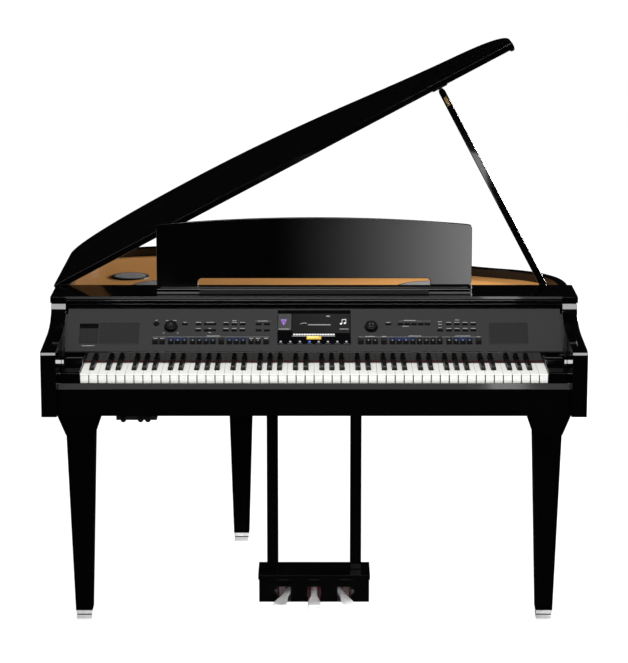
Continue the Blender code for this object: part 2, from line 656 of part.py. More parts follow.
# Prop stay: square to the lid at rest, hinged at its foot beside the treble rim
STAY_PIVOT = (0.6503, 0.902)
STAY_FRONT, STAY_BACK = 0.488, 0.501
STAY_BOSS = 0.003
STAY_PIN = 0.003
from_axis = Vector((STAY_PIVOT[0] + WIDTH / 2, STAY_PIVOT[1] - LID_AXIS_Z))
reach = from_axis.x * math.sin(LID_ANGLE) - from_axis.y * math.cos(LID_ANGLE)
meets_lid_at = from_axis.x * math.cos(LID_ANGLE) + from_axis.y * math.sin(LID_ANGLE)
stay_length = reach - STAY_BOSS - 2 * GAP
STAY_FOOT_HALF, STAY_TIP_HALF, TIP_CUT = 0.0098, 0.0090, 0.004
stay_outline = [
    *arc((0, 0), STAY_FOOT_HALF, 180, 360, 10),
    (STAY_TIP_HALF, stay_length - TIP_CUT),
    (STAY_TIP_HALF - TIP_CUT, stay_length),
    (-STAY_TIP_HALF + TIP_CUT, stay_length),
    (-STAY_TIP_HALF, stay_length - TIP_CUT),
]
stay_frame = empty("stay_frame", (STAY_PIVOT[0], 0, STAY_PIVOT[1]), (0, -LID_ANGLE, 0), case)
stay = slab("prop_stay", stay_outline, STAY_FRONT, STAY_BACK, "XZ", polish, parent=stay_frame)
stay_bore = bmesh.new()
rod_along_y(stay_bore, 0, 0, STAY_PIN + GAP, STAY_FRONT - PAST, STAY_BACK + PAST)
combine(stay, helper("stay_bore", mesh_of("stay_bore", stay_bore), parent=stay_frame), "DIFFERENCE")
BOSS_HALF, BOSS_FRONT, BOSS_BACK = 0.022, 0.484, 0.512
boss = boxes(
    "stay_boss",
    [((meets_lid_at - BOSS_HALF, BOSS_FRONT, -STAY_BOSS), (meets_lid_at + BOSS_HALF, BOSS_BACK, 0.005))],
    parent=lid_frame,
)
combine(lid, boss, "UNION")

BRACKET_HALF, EAR_HALF, EAR_THICK = 0.024, 0.011, 0.005
EAR_BOTTOM, EAR_TOP = SOUNDBOARD_TOP + 0.001, 0.9105
bracket_low = (STAY_PIVOT[0] - BRACKET_HALF, LID_FRONT + GAP, SOUNDBOARD_TOP + GAP)
bracket_high = (STAY_PIVOT[0] + BRACKET_HALF, 0.5065, SOUNDBOARD_TOP + 0.0025)
stay_bracket = block("stay_bracket", bracket_low, bracket_high, chrome)
ears = []
for y in (bracket_low[1], STAY_BACK + 0.0005):
    ear_low = (STAY_PIVOT[0] - EAR_HALF, y, EAR_BOTTOM)
    ears.append((ear_low, (STAY_PIVOT[0] + EAR_HALF, y + EAR_THICK, EAR_TOP)))
combine(stay_bracket, boxes("bracket_ears", ears), "UNION")
stay_pin = bmesh.new()
rod_along_y(stay_pin, *STAY_PIVOT, STAY_PIN, bracket_low[1] + 0.002, bracket_high[1] - 0.002)
combine(stay_bracket, helper("stay_pin", mesh_of("stay_pin", stay_pin)), "UNION")

# Music rest: a ledge on the top board, and behind it a panel that pulls forward about its lower edge
REST_HALF = 0.4305
REST_PIVOT = (0, 0.3862, 0.949)
REST_LEAN = math.radians(2.5)
REST_THICK = 0.012
LEDGE_HALF, LEDGE_FRONT, LEDGE_BACK, LEDGE_TOP = 0.4275, 0.338, 0.3846, 0.947
ledge_low = (-LEDGE_HALF, LEDGE_FRONT, TOP_BOARD_TOP + GAP)
block("music_ledge", ledge_low, (LEDGE_HALF, LEDGE_BACK, LEDGE_TOP), polish)
rest_frame = empty("rest_frame", REST_PIVOT, (-REST_LEAN, 0, 0), case)
REST_END_TOP, REST_CREST = 0.166, 0.1855
REST_FOOT = -0.0125
RELIEF_HALF, RELIEF_TOP = 0.317, 0.0185
crest = [
    (REST_HALF * (1 - i / 8), REST_END_TOP + (REST_CREST - REST_END_TOP) * (1 - (1 - i / 8) ** 2))
    for i in range(1, 16)
]
REST_ROUND, RELIEF_ROUND = 0.010, 0.008
rest_corner = (REST_HALF - REST_ROUND, REST_END_TOP - REST_ROUND)
relief_corner = (RELIEF_HALF - RELIEF_ROUND, RELIEF_TOP - RELIEF_ROUND)
rest_outline = [
    (-REST_HALF, REST_FOOT),
    (-RELIEF_HALF, REST_FOOT),
    *arc((-relief_corner[0], relief_corner[1]), RELIEF_ROUND, 180, 90, 3),
    *arc(relief_corner, RELIEF_ROUND, 90, 0, 3),
    (RELIEF_HALF, REST_FOOT),
    (REST_HALF, REST_FOOT),
    *arc(rest_corner, REST_ROUND, 0, 90, 4),
    *crest,
    *arc((-rest_corner[0], rest_corner[1]), REST_ROUND, 90, 180, 4),
]
REST_FACE = -0.0005
rest = slab("music_rest", rest_outline, REST_FACE, REST_FACE + REST_THICK, "XZ", polish, parent=rest_frame)

# Two wire struts hinged on the panel's back hold it up from the top board.
STRUT_RADIUS = 0.003
STRUT_X = 0.385
STRUT_PIVOT = (0.4058, 1.015)
STRUT_FOOT = (0.455, TOP_BOARD_TOP + STRUT_RADIUS + GAP)
LUG_X, LUG_HALF_WIDTH, LUG_HALF_HEIGHT, LUG_FRONT = STRUT_X - 0.004, 0.003, 0.006, 0.398
lugs, bores = bmesh.new(), bmesh.new()
for side in (-1, 1):
    lug_low = (side * LUG_X - LUG_HALF_WIDTH, LUG_FRONT, STRUT_PIVOT[1] - LUG_HALF_HEIGHT)
    lug_high = (side * LUG_X + LUG_HALF_WIDTH, STRUT_PIVOT[0] + 0.0055, STRUT_PIVOT[1] + LUG_HALF_HEIGHT)
    add_box(lugs, lug_low, lug_high)
    place = Matrix.Translation((side * STRUT_X, *STRUT_PIVOT)) @ Matrix.Rotation(math.pi / 2, 4, "Y")
    bmesh.ops.create_cone(
        bores, cap_ends=True, segments=16, radius1=STRUT_RADIUS + GAP, radius2=STRUT_RADIUS + GAP,
        depth=0.030, matrix=place,
    )
combine(rest, helper("strut_lugs", mesh_of("strut_lugs", lugs)), "UNION")
combine(rest, helper("strut_bores", mesh_of("strut_bores", bores)), "DIFFERENCE")


def strut(name, x, side):
    """A bent wire: a hinge pin along X, the leg, and a toe along X."""
    curve = bpy.data.curves.new(name, "CURVE")
    curve.dimensions = "3D"
    curve.bevel_depth = STRUT_RADIUS
    curve.bevel_resolution = 2
    curve.use_fill_caps = True
    down = Vector((0, STRUT_FOOT[0] - STRUT_PIVOT[0], STRUT_FOOT[1] - STRUT_PIVOT[1]))
    bend, leg_line = Vector((side * 0.014, 0, 0)), Vector((side * 0.018, 0, 0))
    route = [Vector((0, 0, 0)), bend, leg_line + down * 0.04]
    route += [leg_line + down * 0.96, bend + down, down]
    spline = curve.splines.new("POLY")
    spline.points.add(len(route) - 1)
    for point, place in zip(spline.points, route):
        point.co = (*place, 1)
    obj = bpy.data.objects.new(name, curve)
    piano.objects.link(obj)
    curve.materials.append(chrome)
    obj.parent = case
    obj.location = (x, *STRUT_PIVOT)


strut("left_rest_strut", -STRUT_X, 1)
strut("right_rest_strut", STRUT_X, -1)


# Legs: square, tapered, with a flared capital, each on a bright ferrule with a dark groove
FERRULE_TOP = 0.0265


def squared(halves):
    """A profile for a piece of four flat sides, from its half widths and heights."""
    corner = math.sqrt(2)
    return [(half * corner, z) for half, z in halves]


def leg(name, x, y, top):
    quarter = (0, 0, math.pi / 4)
    post = squared([
        (0, top), (0.064, top), (0.064, 0.605), (0.0405, 0.5362), (0.0388, 0.5350),
        (0.0235, FERRULE_TOP + GAP), (0, FERRULE_TOP + GAP),
    ])
    turned(name, post, 4, polish, (x, y, 0), rotation=quarter)
    foot = squared([
        (0, FERRULE_TOP), (0.0226, FERRULE_TOP), (0.0220, 0.0165), (0.0205, 0.0160), (0.0205, 0.0125),
        (0.0218, 0.0120), (0.0212, 0), (0, 0),
    ])
    turned(name.replace("leg", "ferrule"), foot, 4, chrome, (x, y, 0), rotation=quarter)


leg("left_front_leg", -LEG_X, LEG_Y, KEYBED_BOTTOM - GAP)
leg("right_front_leg", LEG_X, LEG_Y, KEYBED_BOTTOM - GAP)
leg("rear_leg", *REAR_LEG, CASE_BOTTOM - GAP)

# Lyre: two posts under a mounting plate carry the pedal box.
BOX_HALF, BOX_FRONT, BOX_BACK = 0.155, 0.4235, 0.5465
BOX_BOTTOM, BOX_TOP = 0.0325, 0.112
POST_X, POST_HALF = 0.1172, 0.0158
POST_FRONT, POST_BACK = 0.4755, 0.4995
PLATE_HALF, PLATE_FRONT, PLATE_BACK, PLATE_BOTTOM = 0.150, 0.452, 0.523, 0.652
posts = []
for x in (-POST_X, POST_X):
    post_low = (x - POST_HALF, POST_FRONT, BOX_TOP + GAP)
    posts.append((post_low, (x + POST_HALF, POST_BACK, PLATE_BOTTOM + 0.008)))
plate_low = (-PLATE_HALF, PLATE_FRONT, PLATE_BOTTOM)
lyre = block("lyre_posts", plate_low, (PLATE_HALF, PLATE_BACK, KEYBED_BOTTOM - GAP), polish)
combine(lyre, boxes("posts", posts), "UNION")
CAP_BOTTOM, CAP_OVERHANG = 0.098, 0.0025
box_low = (-BOX_HALF, BOX_FRONT, BOX_BOTTOM)
lyre_box = block("pedal_box", box_low, (BOX_HALF, BOX_BACK, CAP_BOTTOM + 0.002), polish)
cap_low = (-BOX_HALF - CAP_OVERHANG, BOX_FRONT - CAP_OVERHANG, CAP_BOTTOM)
cap_high = (BOX_HALF + CAP_OVERHANG, BOX_BACK + CAP_OVERHANG, BOX_TOP)
combine(lyre_box, boxes("pedal_box_cap", [(cap_low, cap_high)]), "UNION")

# Pedals: a flat shoe on an arm, hinged at the back of its slot and reaching forward out of the box
PEDAL_PIVOT_Y, PEDAL_PIVOT_Z = 0.520, 0.0455
PEDAL_X = 0.0655
PEDAL_THICK = 0.010
slot_low, slot_high = (-0.018, -0.14, -0.02), (0.018, 0.012, 0.031)
toe = [(x, 0.78 * y - 0.162) for x, y in arc((0, 0), 0.0165, 195, 345, 8)]
pedal_outline = [
    (-0.0085, 0.008), (-0.0085, -0.090), (-0.0165, -0.135), (-0.0175, -0.158), *toe,
    (0.0175, -0.158), (0.0165, -0.135), (0.0085, -0.090), (0.0085, 0.008),
]
for name, x, yaw in (("left", -PEDAL_X, -PEDAL_YAW), ("middle", 0, 0), ("right", PEDAL_X, PEDAL_YAW)):
    pedal_frame = empty(name + "_pedal_frame", (x, PEDAL_PIVOT_Y, PEDAL_PIVOT_Z), (0, 0, yaw), case)
    slab(
        name + "_pedal", pedal_outline, -PEDAL_THICK / 2, PEDAL_THICK / 2, "XY", chrome, parent=pedal_frame
    )
    slot = boxes(name + "_slot", [(slot_low, slot_high)], parent=pedal_frame)
    combine(lyre_box, slot, "DIFFERENCE")
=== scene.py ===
import math

import bmesh
import bpy
from mathutils import Matrix, Vector
from mathutils.geometry import interpolate_bezier


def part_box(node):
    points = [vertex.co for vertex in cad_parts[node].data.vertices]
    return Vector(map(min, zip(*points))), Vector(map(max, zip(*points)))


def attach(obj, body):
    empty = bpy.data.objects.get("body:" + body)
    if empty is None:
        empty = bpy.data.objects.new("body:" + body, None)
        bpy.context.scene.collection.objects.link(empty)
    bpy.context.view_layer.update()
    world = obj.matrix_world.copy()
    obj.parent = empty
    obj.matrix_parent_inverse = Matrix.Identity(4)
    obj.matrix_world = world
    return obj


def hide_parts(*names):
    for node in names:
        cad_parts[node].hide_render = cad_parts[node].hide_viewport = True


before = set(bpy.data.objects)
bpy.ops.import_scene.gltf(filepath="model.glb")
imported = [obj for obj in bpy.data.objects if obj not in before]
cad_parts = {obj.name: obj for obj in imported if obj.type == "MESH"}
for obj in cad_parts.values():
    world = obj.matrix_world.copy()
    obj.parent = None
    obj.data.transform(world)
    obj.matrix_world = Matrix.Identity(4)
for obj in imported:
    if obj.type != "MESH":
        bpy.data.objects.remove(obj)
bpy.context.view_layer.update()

# The studio: a white floor and white surroundings, softboxes over and behind the piano, small ones in front
# that draw the highlights on its edges, and black cloth round it, over it and on the floor, which only
# reflections see.
CAMERA_PLACE = (0.0038, -7.1220, 2.2544)
CAMERA_TILT = math.radians(78.233)
CAMERA_LENS, CAMERA_SENSOR, CAMERA_REACH = 139.26, 36.0, 200
AMBIENT = 0.68
FLOOR_HALF = 60.0
FLOOR_GLOW, FLOOR_GLOW_SHARE = 1.10, 0.85


def linked(obj):
    bpy.context.scene.collection.objects.link(obj)
    return obj


def grey(level):
    return (level, level, level)


def feed(tree, node, values):
    """Gives a node its inputs, by name or number: each a value or another node's output."""
    for socket, value in values.items():
        if isinstance(value, bpy.types.NodeSocket):
            tree.links.new(value, node.inputs[socket])
        else:
            node.inputs[socket].default_value = value
    return node


def added(tree, kind, values=(), **settings):
    node = tree.nodes.new("ShaderNode" + kind)
    for setting, value in settings.items():
        setattr(node, setting, value)
    return feed(tree, node, dict(values))


def maths(tree, operation, first, second):
    return added(tree, "Math", {0: first, 1: second}, operation=operation).outputs[0]


def place_in(tree):
    """The point's place on its own piece, in metres."""
    return added(tree, "TexCoord").outputs["Object"]


def seen_directly(tree):
    """1 for rays from the camera, and for those that come by way of gloss or glass."""
    rays = added(tree, "LightPath").outputs
    either = maths(tree, "MAXIMUM", rays["Is Camera Ray"], rays["Is Glossy Ray"])
    return maths(tree, "MAXIMUM", either, rays["Is Transmission Ray"])


def plain_finish(name, colour, roughness, specular=0.5, metallic=0.0):
    material = bpy.data.materials.new(name)
    material.use_nodes = True
    shader = material.node_tree.nodes["Principled BSDF"]
    look = {"Base Color": (*colour, 1), "Roughness": roughness, "Specular IOR Level": specular}
    feed(material.node_tree, shader, {**look, "Metallic": metallic})
    return material, material.node_tree, shader


def staged(name, bm, material, *unseen_by):
    """A piece of the studio, hidden from the kinds of ray named."""
    mesh = bpy.data.meshes.new(name)
    bm.to_mesh(mesh)
    bm.free()
    mesh.materials.append(material)
    obj = linked(bpy.data.objects.new(name, mesh))
    for ray in unseen_by:
        setattr(obj, "visible_" + ray, False)


camera_data = bpy.data.cameras.new("camera")
camera_data.lens, camera_data.sensor_width, camera_data.clip_end = CAMERA_LENS, CAMERA_SENSOR, CAMERA_REACH
camera = linked(bpy.data.objects.new("camera", camera_data))
camera.location = CAMERA_PLACE
camera.rotation_euler = (CAMERA_TILT, 0, 0)
bpy.context.scene.camera = camera
bpy.context.scene.view_settings.view_transform = "Standard"

studio = bpy.data.worlds.new("studio")
bpy.context.scene.world = studio
studio.use_nodes = True
tree = studio.node_tree
lighting = feed(tree, tree.nodes["Background"], {"Color": (*grey(1.0), 1), "Strength": AMBIENT})
shown = added(tree, "Background", {"Color": (*grey(1.0), 1)})
mix = added(tree, "MixShader", {"Fac": seen_directly(tree), 1: lighting.outputs[0], 2: shown.outputs[0]})
feed(tree, tree.nodes["World Output"], {"Surface": mix.outputs[0]})

floor = bmesh.new()
bmesh.ops.create_grid(floor, x_segments=2, y_segments=2, size=FLOOR_HALF)
floor_paint, tree, matt = plain_finish("white_floor", grey(0.82), 0.9, 0.0)
share = maths(tree, "MULTIPLY", seen_directly(tree), FLOOR_GLOW_SHARE)
glow = added(tree, "Emission", {"Strength": FLOOR_GLOW})
mix = added(tree, "MixShader", {"Fac": share, 1: matt.outputs[0], 2: glow.outputs[0]})
feed(tree, tree.nodes["Material Output"], {"Surface": mix.outputs[0]})
staged("floor", floor, floor_paint)

DRAPE_RADIUS, DRAPE_FOOT, DRAPE_TOP = 9.0, 0.02, 16.0
APRON_HALF, APRON_LENGTH, APRON_LEVEL = 4.5, 8.9, 0.004
drapes = bmesh.new()
bmesh.ops.create_cone(
    drapes, cap_ends=False, segments=64, radius1=DRAPE_RADIUS, radius2=DRAPE_RADIUS, depth=DRAPE_TOP,
    matrix=Matrix.Translation((0, 0, DRAPE_TOP / 2 + DRAPE_FOOT)),
)
for half, near, far, level in (
    (APRON_HALF, -APRON_LENGTH, 0.0, APRON_LEVEL), (APRON_HALF, 0.0, APRON_LENGTH, APRON_LEVEL),
    (DRAPE_RADIUS, -DRAPE_RADIUS, DRAPE_RADIUS, DRAPE_TOP),
):
    corners = ((-half, near), (half, near), (half, far), (-half, far))
    drapes.faces.new([drapes.verts.new((x, y, level)) for x, y in corners])
black_cloth = plain_finish("black_drape", grey(0.003), 1.0, 0.0)[0]
staged("drapes", drapes, black_cloth, "camera", "diffuse", "shadow", "transmission")


def softbox(name, place, aim, size, power):
    light = bpy.data.lights.new("softbox_" + name, "AREA")
    light.shape = "RECTANGLE"
    light.size, light.size_y = size
    light.energy = power
    lamp = linked(bpy.data.objects.new("softbox_" + name, light))
    lamp.location = place
    lamp.rotation_euler = (Vector(aim) - Vector(place)).to_track_quat("-Z", "Y").to_euler()
    lamp.visible_camera = False
    return lamp


softbox("bass_front", (-1.52, -8.2, 4.4), (0.0, -0.3, 0.8), (0.62, 0.50), 10)
softbox("treble_front", (1.52, -8.2, 4.4), (0.0, -0.3, 0.8), (0.62, 0.50), 10)
softbox("high_front", (0.0, -5.6, 4.4), (0.0, -0.4, 0.8), (2.6, 0.8), 24)
softbox("over_keys", (0.0, -1.9, 4.4), (0.0, -0.4, 0.8), (1.7, 0.9), 124)
softbox("over_slip", (0.0, -3.63, 4.6), (0.0, -0.6, 0.75), (2.34, 0.6), 4.6)
softbox("slip_accent", (0.87, -3.60, 4.58), (0.5, -0.6, 0.75), (0.17, 0.6), 1.1)
on_pedals = softbox("low_front", (0.0, -3.4, 1.0), (0.0, -0.45, 0.08), (0.4, 0.2), 1.1)
on_pedals.data.spread = math.radians(14)
on_pedals.visible_glossy = False
softbox("lid_edge", (-3.0, -3.6, 4.0), (-0.2, -0.1, 1.1), (1.0, 1.8), 14)
softbox("behind", (3.4, 2.3, 1.9), (0.0, 0.2, 0.9), (1.5, 0.8), 480)

# A graduated card in front of the keys, which only reflections see: its light fades out towards the bass
# side, and so does its image in the music rest.
CARD_LEFT, CARD_FULL, CARD_RIGHT, CARD_FOOT, CARD_HEAD = -0.16, 0.56, 0.64, 0.70, 0.975
CARD_PLACE, CARD_STRENGTH = -2.5, 4.4
card = bmesh.new()
corners = ((CARD_LEFT, CARD_FOOT), (CARD_RIGHT, CARD_FOOT), (CARD_RIGHT, CARD_HEAD), (CARD_LEFT, CARD_HEAD))
card.faces.new([card.verts.new((x, CARD_PLACE, z)) for x, z in corners])
card_light, tree, unused = plain_finish("graduated_light", grey(0.0), 1.0)
tree.nodes.remove(unused)
across = added(tree, "SeparateXYZ", {0: place_in(tree)}).outputs["X"]
limits = {"From Min": CARD_LEFT, "From Max": CARD_FULL, "Value": across}
fade = maths(tree, "POWER", added(tree, "MapRange", limits).outputs["Result"], 2.0)
level = maths(tree, "MULTIPLY", fade, CARD_STRENGTH)
card_glow = added(tree, "Emission", {"Strength": level})
feed(tree, tree.nodes["Material Output"], {"Surface": card_glow.outputs[0]})
staged("graduated_card", card, card_light, "camera", "diffuse", "shadow")


# Shared by the lacquer, glass, plastic and metal: the dust and hairlines that any handled surface gathers
def group_of(name, inputs, outputs):
    """A new node group with number sockets: its tree, its entry's outputs and its exit."""
    group = bpy.data.node_groups.new(name, "ShaderNodeTree")
    for socket, value in inputs.items():
        made = group.interface.new_socket(socket, in_out="INPUT", socket_type="NodeSocketFloat")
        made.default_value = value
    for socket in outputs:
        group.interface.new_socket(socket, in_out="OUTPUT", socket_type="NodeSocketFloat")
    return group, group.nodes.new("NodeGroupInput").outputs, group.nodes.new("NodeGroupOutput")


def stretched_noise(tree, stretch, detail=4.0, place=None):
    """Noise in metres, with its own scale along each axis."""
    mapped = added(tree, "Mapping", {"Scale": stretch, "Vector": place or place_in(tree)}).outputs[0]
    return added(tree, "TexNoise", {"Scale": 1.0, "Detail": detail, "Vector": mapped}).outputs["Fac"]


def between(tree, value, low, high):
    """0 below low, 1 above high, and smooth between."""
    limits = {"From Min": low, "From Max": high, "Value": value}
    return added(tree, "MapRange", limits, interpolation_type="SMOOTHSTEP").outputs["Result"]


handled, entry, leave = group_of(
    "handled_surface", {"Dust": 0.5, "Hairlines": 0.5}, ("Dust Mask", "Roughness Rise", "Height"),
)
specks = between(handled, stretched_noise(handled, grey(900), 2), 0.60, 0.74)
patches = between(handled, stretched_noise(handled, grey(9)), 0.42, 0.68)
normal = added(handled, "NewGeometry").outputs["Normal"]
upward = between(handled, added(handled, "SeparateXYZ", {0: normal}).outputs["Z"], 0.3, 1.0)
settled = maths(handled, "MULTIPLY", maths(handled, "MULTIPLY", specks, patches), upward)
lines = between(handled, stretched_noise(handled, (14, 1900, 1900), 2), 0.66, 0.72)
cross = between(handled, stretched_noise(handled, (1700, 22, 1700), 2), 0.68, 0.74)
hairlines = maths(handled, "MULTIPLY", maths(handled, "MAXIMUM", lines, cross), entry["Hairlines"])
smudge = maths(handled, "MULTIPLY", patches, 0.03)
feed(handled, leave, {
    "Dust Mask": maths(handled, "MULTIPLY", settled, entry["Dust"]),
    "Roughness Rise": maths(handled, "ADD", smudge, maths(handled, "MULTIPLY", hairlines, 0.12)),
    "Height": maths(handled, "MULTIPLY", hairlines, -1.0),
})


def placed(tree, group, **values):
    node = tree.nodes.new("ShaderNodeGroup")
    node.node_tree = group
    return feed(tree, node, {socket.replace("_", " "): value for socket, value in values.items()}).outputs


def blended(tree, mask, first, second):
    """A colour between two, each a colour or another node's output."""
    node = added(tree, "Mix", {0: mask}, data_type="RGBA")
    ends = [i for i, socket in enumerate(node.inputs) if socket.type == "RGBA"]
    colours = [(*colour, 1) if isinstance(colour, tuple) else colour for colour in (first, second)]
    feed(tree, node, dict(zip(ends, colours)))
    return [socket for socket in node.outputs if socket.type == "RGBA"][0]


def relief(tree, shader, height, depth):
    """A bump of this depth in metres."""
    bump = added(tree, "Bump", {"Distance": depth, "Height": height})
    feed(tree, shader, {"Normal": bump.outputs["Normal"]})


def toned(colour, share, lift=0.0):
    return tuple(share * part + lift for part in colour)


def aged(tree, shader, colour, dusty, roughness, dust, hairlines):
    """Lays dust over a colour, dulls it where it is marked, and gives back the marks."""
    marks = placed(tree, handled, Dust=dust, Hairlines=hairlines)
    feed(tree, shader, {
        "Base Color": blended(tree, marks["Dust Mask"], colour, dusty),
        "Roughness": maths(tree, "ADD", marks["Roughness Rise"], roughness),
    })
    return marks


def used_finish(name, colour, roughness, specular=0.5, dust=0.5, hairlines=0.5):
    """A finish with its own dust and hairlines over one colour."""
    material, tree, shader = plain_finish(name, colour, roughness, specular)
    marks = aged(tree, shader, colour, toned(colour, 0.85, 0.10), roughness, dust, hairlines)
    relief(tree, shader, marks["Height"], 0.00002)
    return material


# Case sides: two thick arms beside the keys, the straight bass side and the bent treble rim. Each is
# laminated board under black polyester lacquer with its corners rounded, fixed from inside to the keybed and
# bottom board.
FLAT = Matrix.Identity(4)
LENGTHWAYS = Matrix(((0, 0, 1, 0), (1, 0, 0, 0), (0, 1, 0, 0), (0, 0, 0, 1)))
MIDDLE_X = (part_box("top_board")[0].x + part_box("top_board")[1].x) / 2
FRONT_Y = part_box("left_arm")[0].y
in_case = Matrix.Translation((MIDDLE_X, FRONT_Y, 0))


def cased(node):
    """A solid's low and high corners, measured from the middle of the case's front."""
    low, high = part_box(node)
    return (low.x - MIDDLE_X, low.y - FRONT_Y, low.z), (high.x - MIDDLE_X, high.y - FRONT_Y, high.z)


(ARM_INSIDE, _, _), (CASE_HALF, ARM_DEPTH, _) = cased("right_arm")
(_, RIM_FRONT, CASE_BOTTOM), (_, CASE_DEPTH, CASE_TOP) = cased("bent_rim")
RIM_THICK = 0.022
BASS_SIDE_END = 0.985
BOARD_ROUND, ARM_ROUND, BLOCK_ROUND = 0.0022, 0.0008, 0.0006
SHARP = math.radians(25)
PLAN_STEPS = 22
PLAN_KNOTS = (
    ((CASE_HALF, 0.585), (0, 1), 0.14, 0.14),
    ((0.553, 0.832), (-0.93, 0.36), 0.10, 0.11),
    ((0.213, 1.040), (-0.83, 0.56), 0.12, 0.17),
    ((-0.302, CASE_DEPTH), (-1, 0), 0.19, 0.26),
    ((-CASE_HALF, BASS_SIDE_END), (0, -1), 0.16, 0.16),
)


def plan_curve(inset):
    """The case's plan from the treble side round the tail to the bass side, moved inwards by inset."""
    plan = []
    for (here, way, _, after), (there, way_on, before, _) in zip(PLAN_KNOTS, PLAN_KNOTS[1:]):
        start, end = Vector(here), Vector(there)
        way, way_on = Vector(way).normalized(), Vector(way_on).normalized()
        stretch = interpolate_bezier(start, start + way * after, end - way_on * before, end, PLAN_STEPS + 1)
        plan += [point.to_2d() for point in stretch][:-1]
    plan.append(Vector(PLAN_KNOTS[-1][0]))
    ways = [(after - before).normalized() for before, after in zip(plan, plan[2:])]
    ways = [Vector((0, 1)), *ways, Vector((0, -1))]
    return [(point.x - way.y * inset, point.y + way.x * inset) for point, way in zip(plan, ways)]


def skin(bm, rings, capped=False):
    """Faces from each ring of points to the next, where a ring may be a single point, and over the ends."""
    if capped:
        bm.faces.new(rings[0])
        bm.faces.new(rings[-1])
    steps = max(len(ring) for ring in rings)
    for near, far in zip(rings, rings[1:]):
        for i in range(steps):
            j = (i + 1) % steps
            corners = near[i % len(near)], near[j % len(near)], far[j % len(far)], far[i % len(far)]
            corners = list(dict.fromkeys(corners))
            if len(corners) > 2:
                bm.faces.new(corners)
    return bm


def prism(bm, outline, low, high, lie=FLAT):
    """Gives a flat outline thickness from low to high."""
    rings = [[bm.verts.new(lie @ Vector((u, v, level))) for u, v in outline] for level in (low, high)]
    return skin(bm, rings, capped=True)


def rounded(obj, width, segments):
    bevel = obj.modifiers.new("rounded edges", "BEVEL")
    bevel.width, bevel.segments = width, segments
    bevel.limit_method, bevel.angle_limit = "ANGLE", SHARP
    obj.modifiers.new("flat faces", "WEIGHTED_NORMAL").weight = 80


def make(name, bm, finish, body, nodes=(), place=in_case, round_by=0.0, segments=3, facet_angle=35):
    """Turns a drawn shape into a piece that rides on its body, its edges rounded by so much."""
    bmesh.ops.transform(bm, matrix=place, verts=bm.verts)
    bmesh.ops.recalc_face_normals(bm, faces=bm.faces)
    mesh = bpy.data.meshes.new(name)
    bm.to_mesh(mesh)
    bm.free()
    mesh.materials.append(finish)
    mesh.shade_smooth()
    obj = linked(bpy.data.objects.new(name, mesh))
    if round_by:
        rounded(obj, round_by, segments)
    else:
        mesh.set_sharp_from_angle(angle=math.radians(facet_angle))
    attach(obj, body)
    if nodes:
        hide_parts(*nodes)
    return obj


def carried(finish, round_by, *nodes, segments=2):
    """Solids of the frame that stay, with their own finish and their edges rounded by so much."""
    for node in nodes:
        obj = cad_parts[node]
        obj.data.materials.clear()
        obj.data.materials.append(finish)
        obj.data.shade_smooth()
        if round_by:
            obj.modifiers.new("joined corners", "WELD").merge_threshold = 1e-5
            flats = obj.modifiers.new("whole faces", "DECIMATE")
            flats.decimate_type, flats.angle_limit = "DISSOLVE", math.radians(0.5)
            rounded(obj, round_by, segments)


lacquer = used_finish("polished_black_lacquer", (0.0008, 0.0008, 0.0009), 0.035, dust=0.04, hairlines=0.20)

ARM_FRONT = [(0, CASE_BOTTOM), (0, 0.8362), (0.0024, 0.8432), (0.0050, 0.8449), (0.0125, 0.8455)]
ARM_SWEEP = ((0.150, 0.852, 0), (0.258, 0.856, 0), (0.290, 0.878, 0), (0.3014, 0.8985, 0))
arm_sweep = interpolate_bezier(*[Vector(knot) for knot in ARM_SWEEP], 30)
arm_back = [(ARM_DEPTH, CASE_TOP), (ARM_DEPTH, CASE_BOTTOM)]
arm_outline = [*ARM_FRONT, *[(point.x, point.y) for point in arm_sweep], *arm_back]
for name, inner, outer in (("left_arm", -CASE_HALF, -ARM_INSIDE), ("right_arm", ARM_INSIDE, CASE_HALF)):
    board = prism(bmesh.new(), arm_outline, inner, outer, LENGTHWAYS)
    bmesh.ops.recalc_face_normals(board, faces=board.faces)
    corners = [edge for edge in board.edges if edge.calc_face_angle() > SHARP]
    bmesh.ops.bevel(board, geom=corners, offset=ARM_ROUND, segments=3, profile=0.5, affect="EDGES")
    make(name + "_board", board, lacquer, "case", (name,), facet_angle=8)

rim_outline = [(CASE_HALF, RIM_FRONT), *plan_curve(0), *reversed(plan_curve(RIM_THICK))]
rim_outline.append((CASE_HALF - RIM_THICK, RIM_FRONT))
board = prism(bmesh.new(), rim_outline, CASE_BOTTOM, CASE_TOP)
make("treble_rim", board, lacquer, "case", ("bent_rim",), round_by=BOARD_ROUND)
(slip_left, _, slip_foot), (slip_right, _, _) = cased("key_slip")
slip_side = [(0.0300, slip_foot), (0.0300, 0.7390), (0.0387, 0.7530), (0.0420, 0.7530), (0.0420, slip_foot)]
slip = prism(bmesh.new(), slip_side, slip_left, slip_right, LENGTHWAYS)
make("key_slip_board", slip, lacquer, "case", ("key_slip",), round_by=BLOCK_ROUND)
trim_side = [(0.3079, 0.9262), (0.3079, 0.9322), (0.3072, 0.9322), (0.3038, 0.9262)]
edge_trim = prism(bmesh.new(), trim_side, -ARM_INSIDE, ARM_INSIDE, LENGTHWAYS)
make("cover_edge_trim", edge_trim, lacquer, "case", round_by=0.0002, segments=2)
carried(lacquer, BOARD_ROUND, "bass_side", "top_board")
carried(lacquer, BLOCK_ROUND, "left_cheek_block", "right_cheek_block")
carried(lacquer, 0.0010, "key_cover", "fallboard_strip")

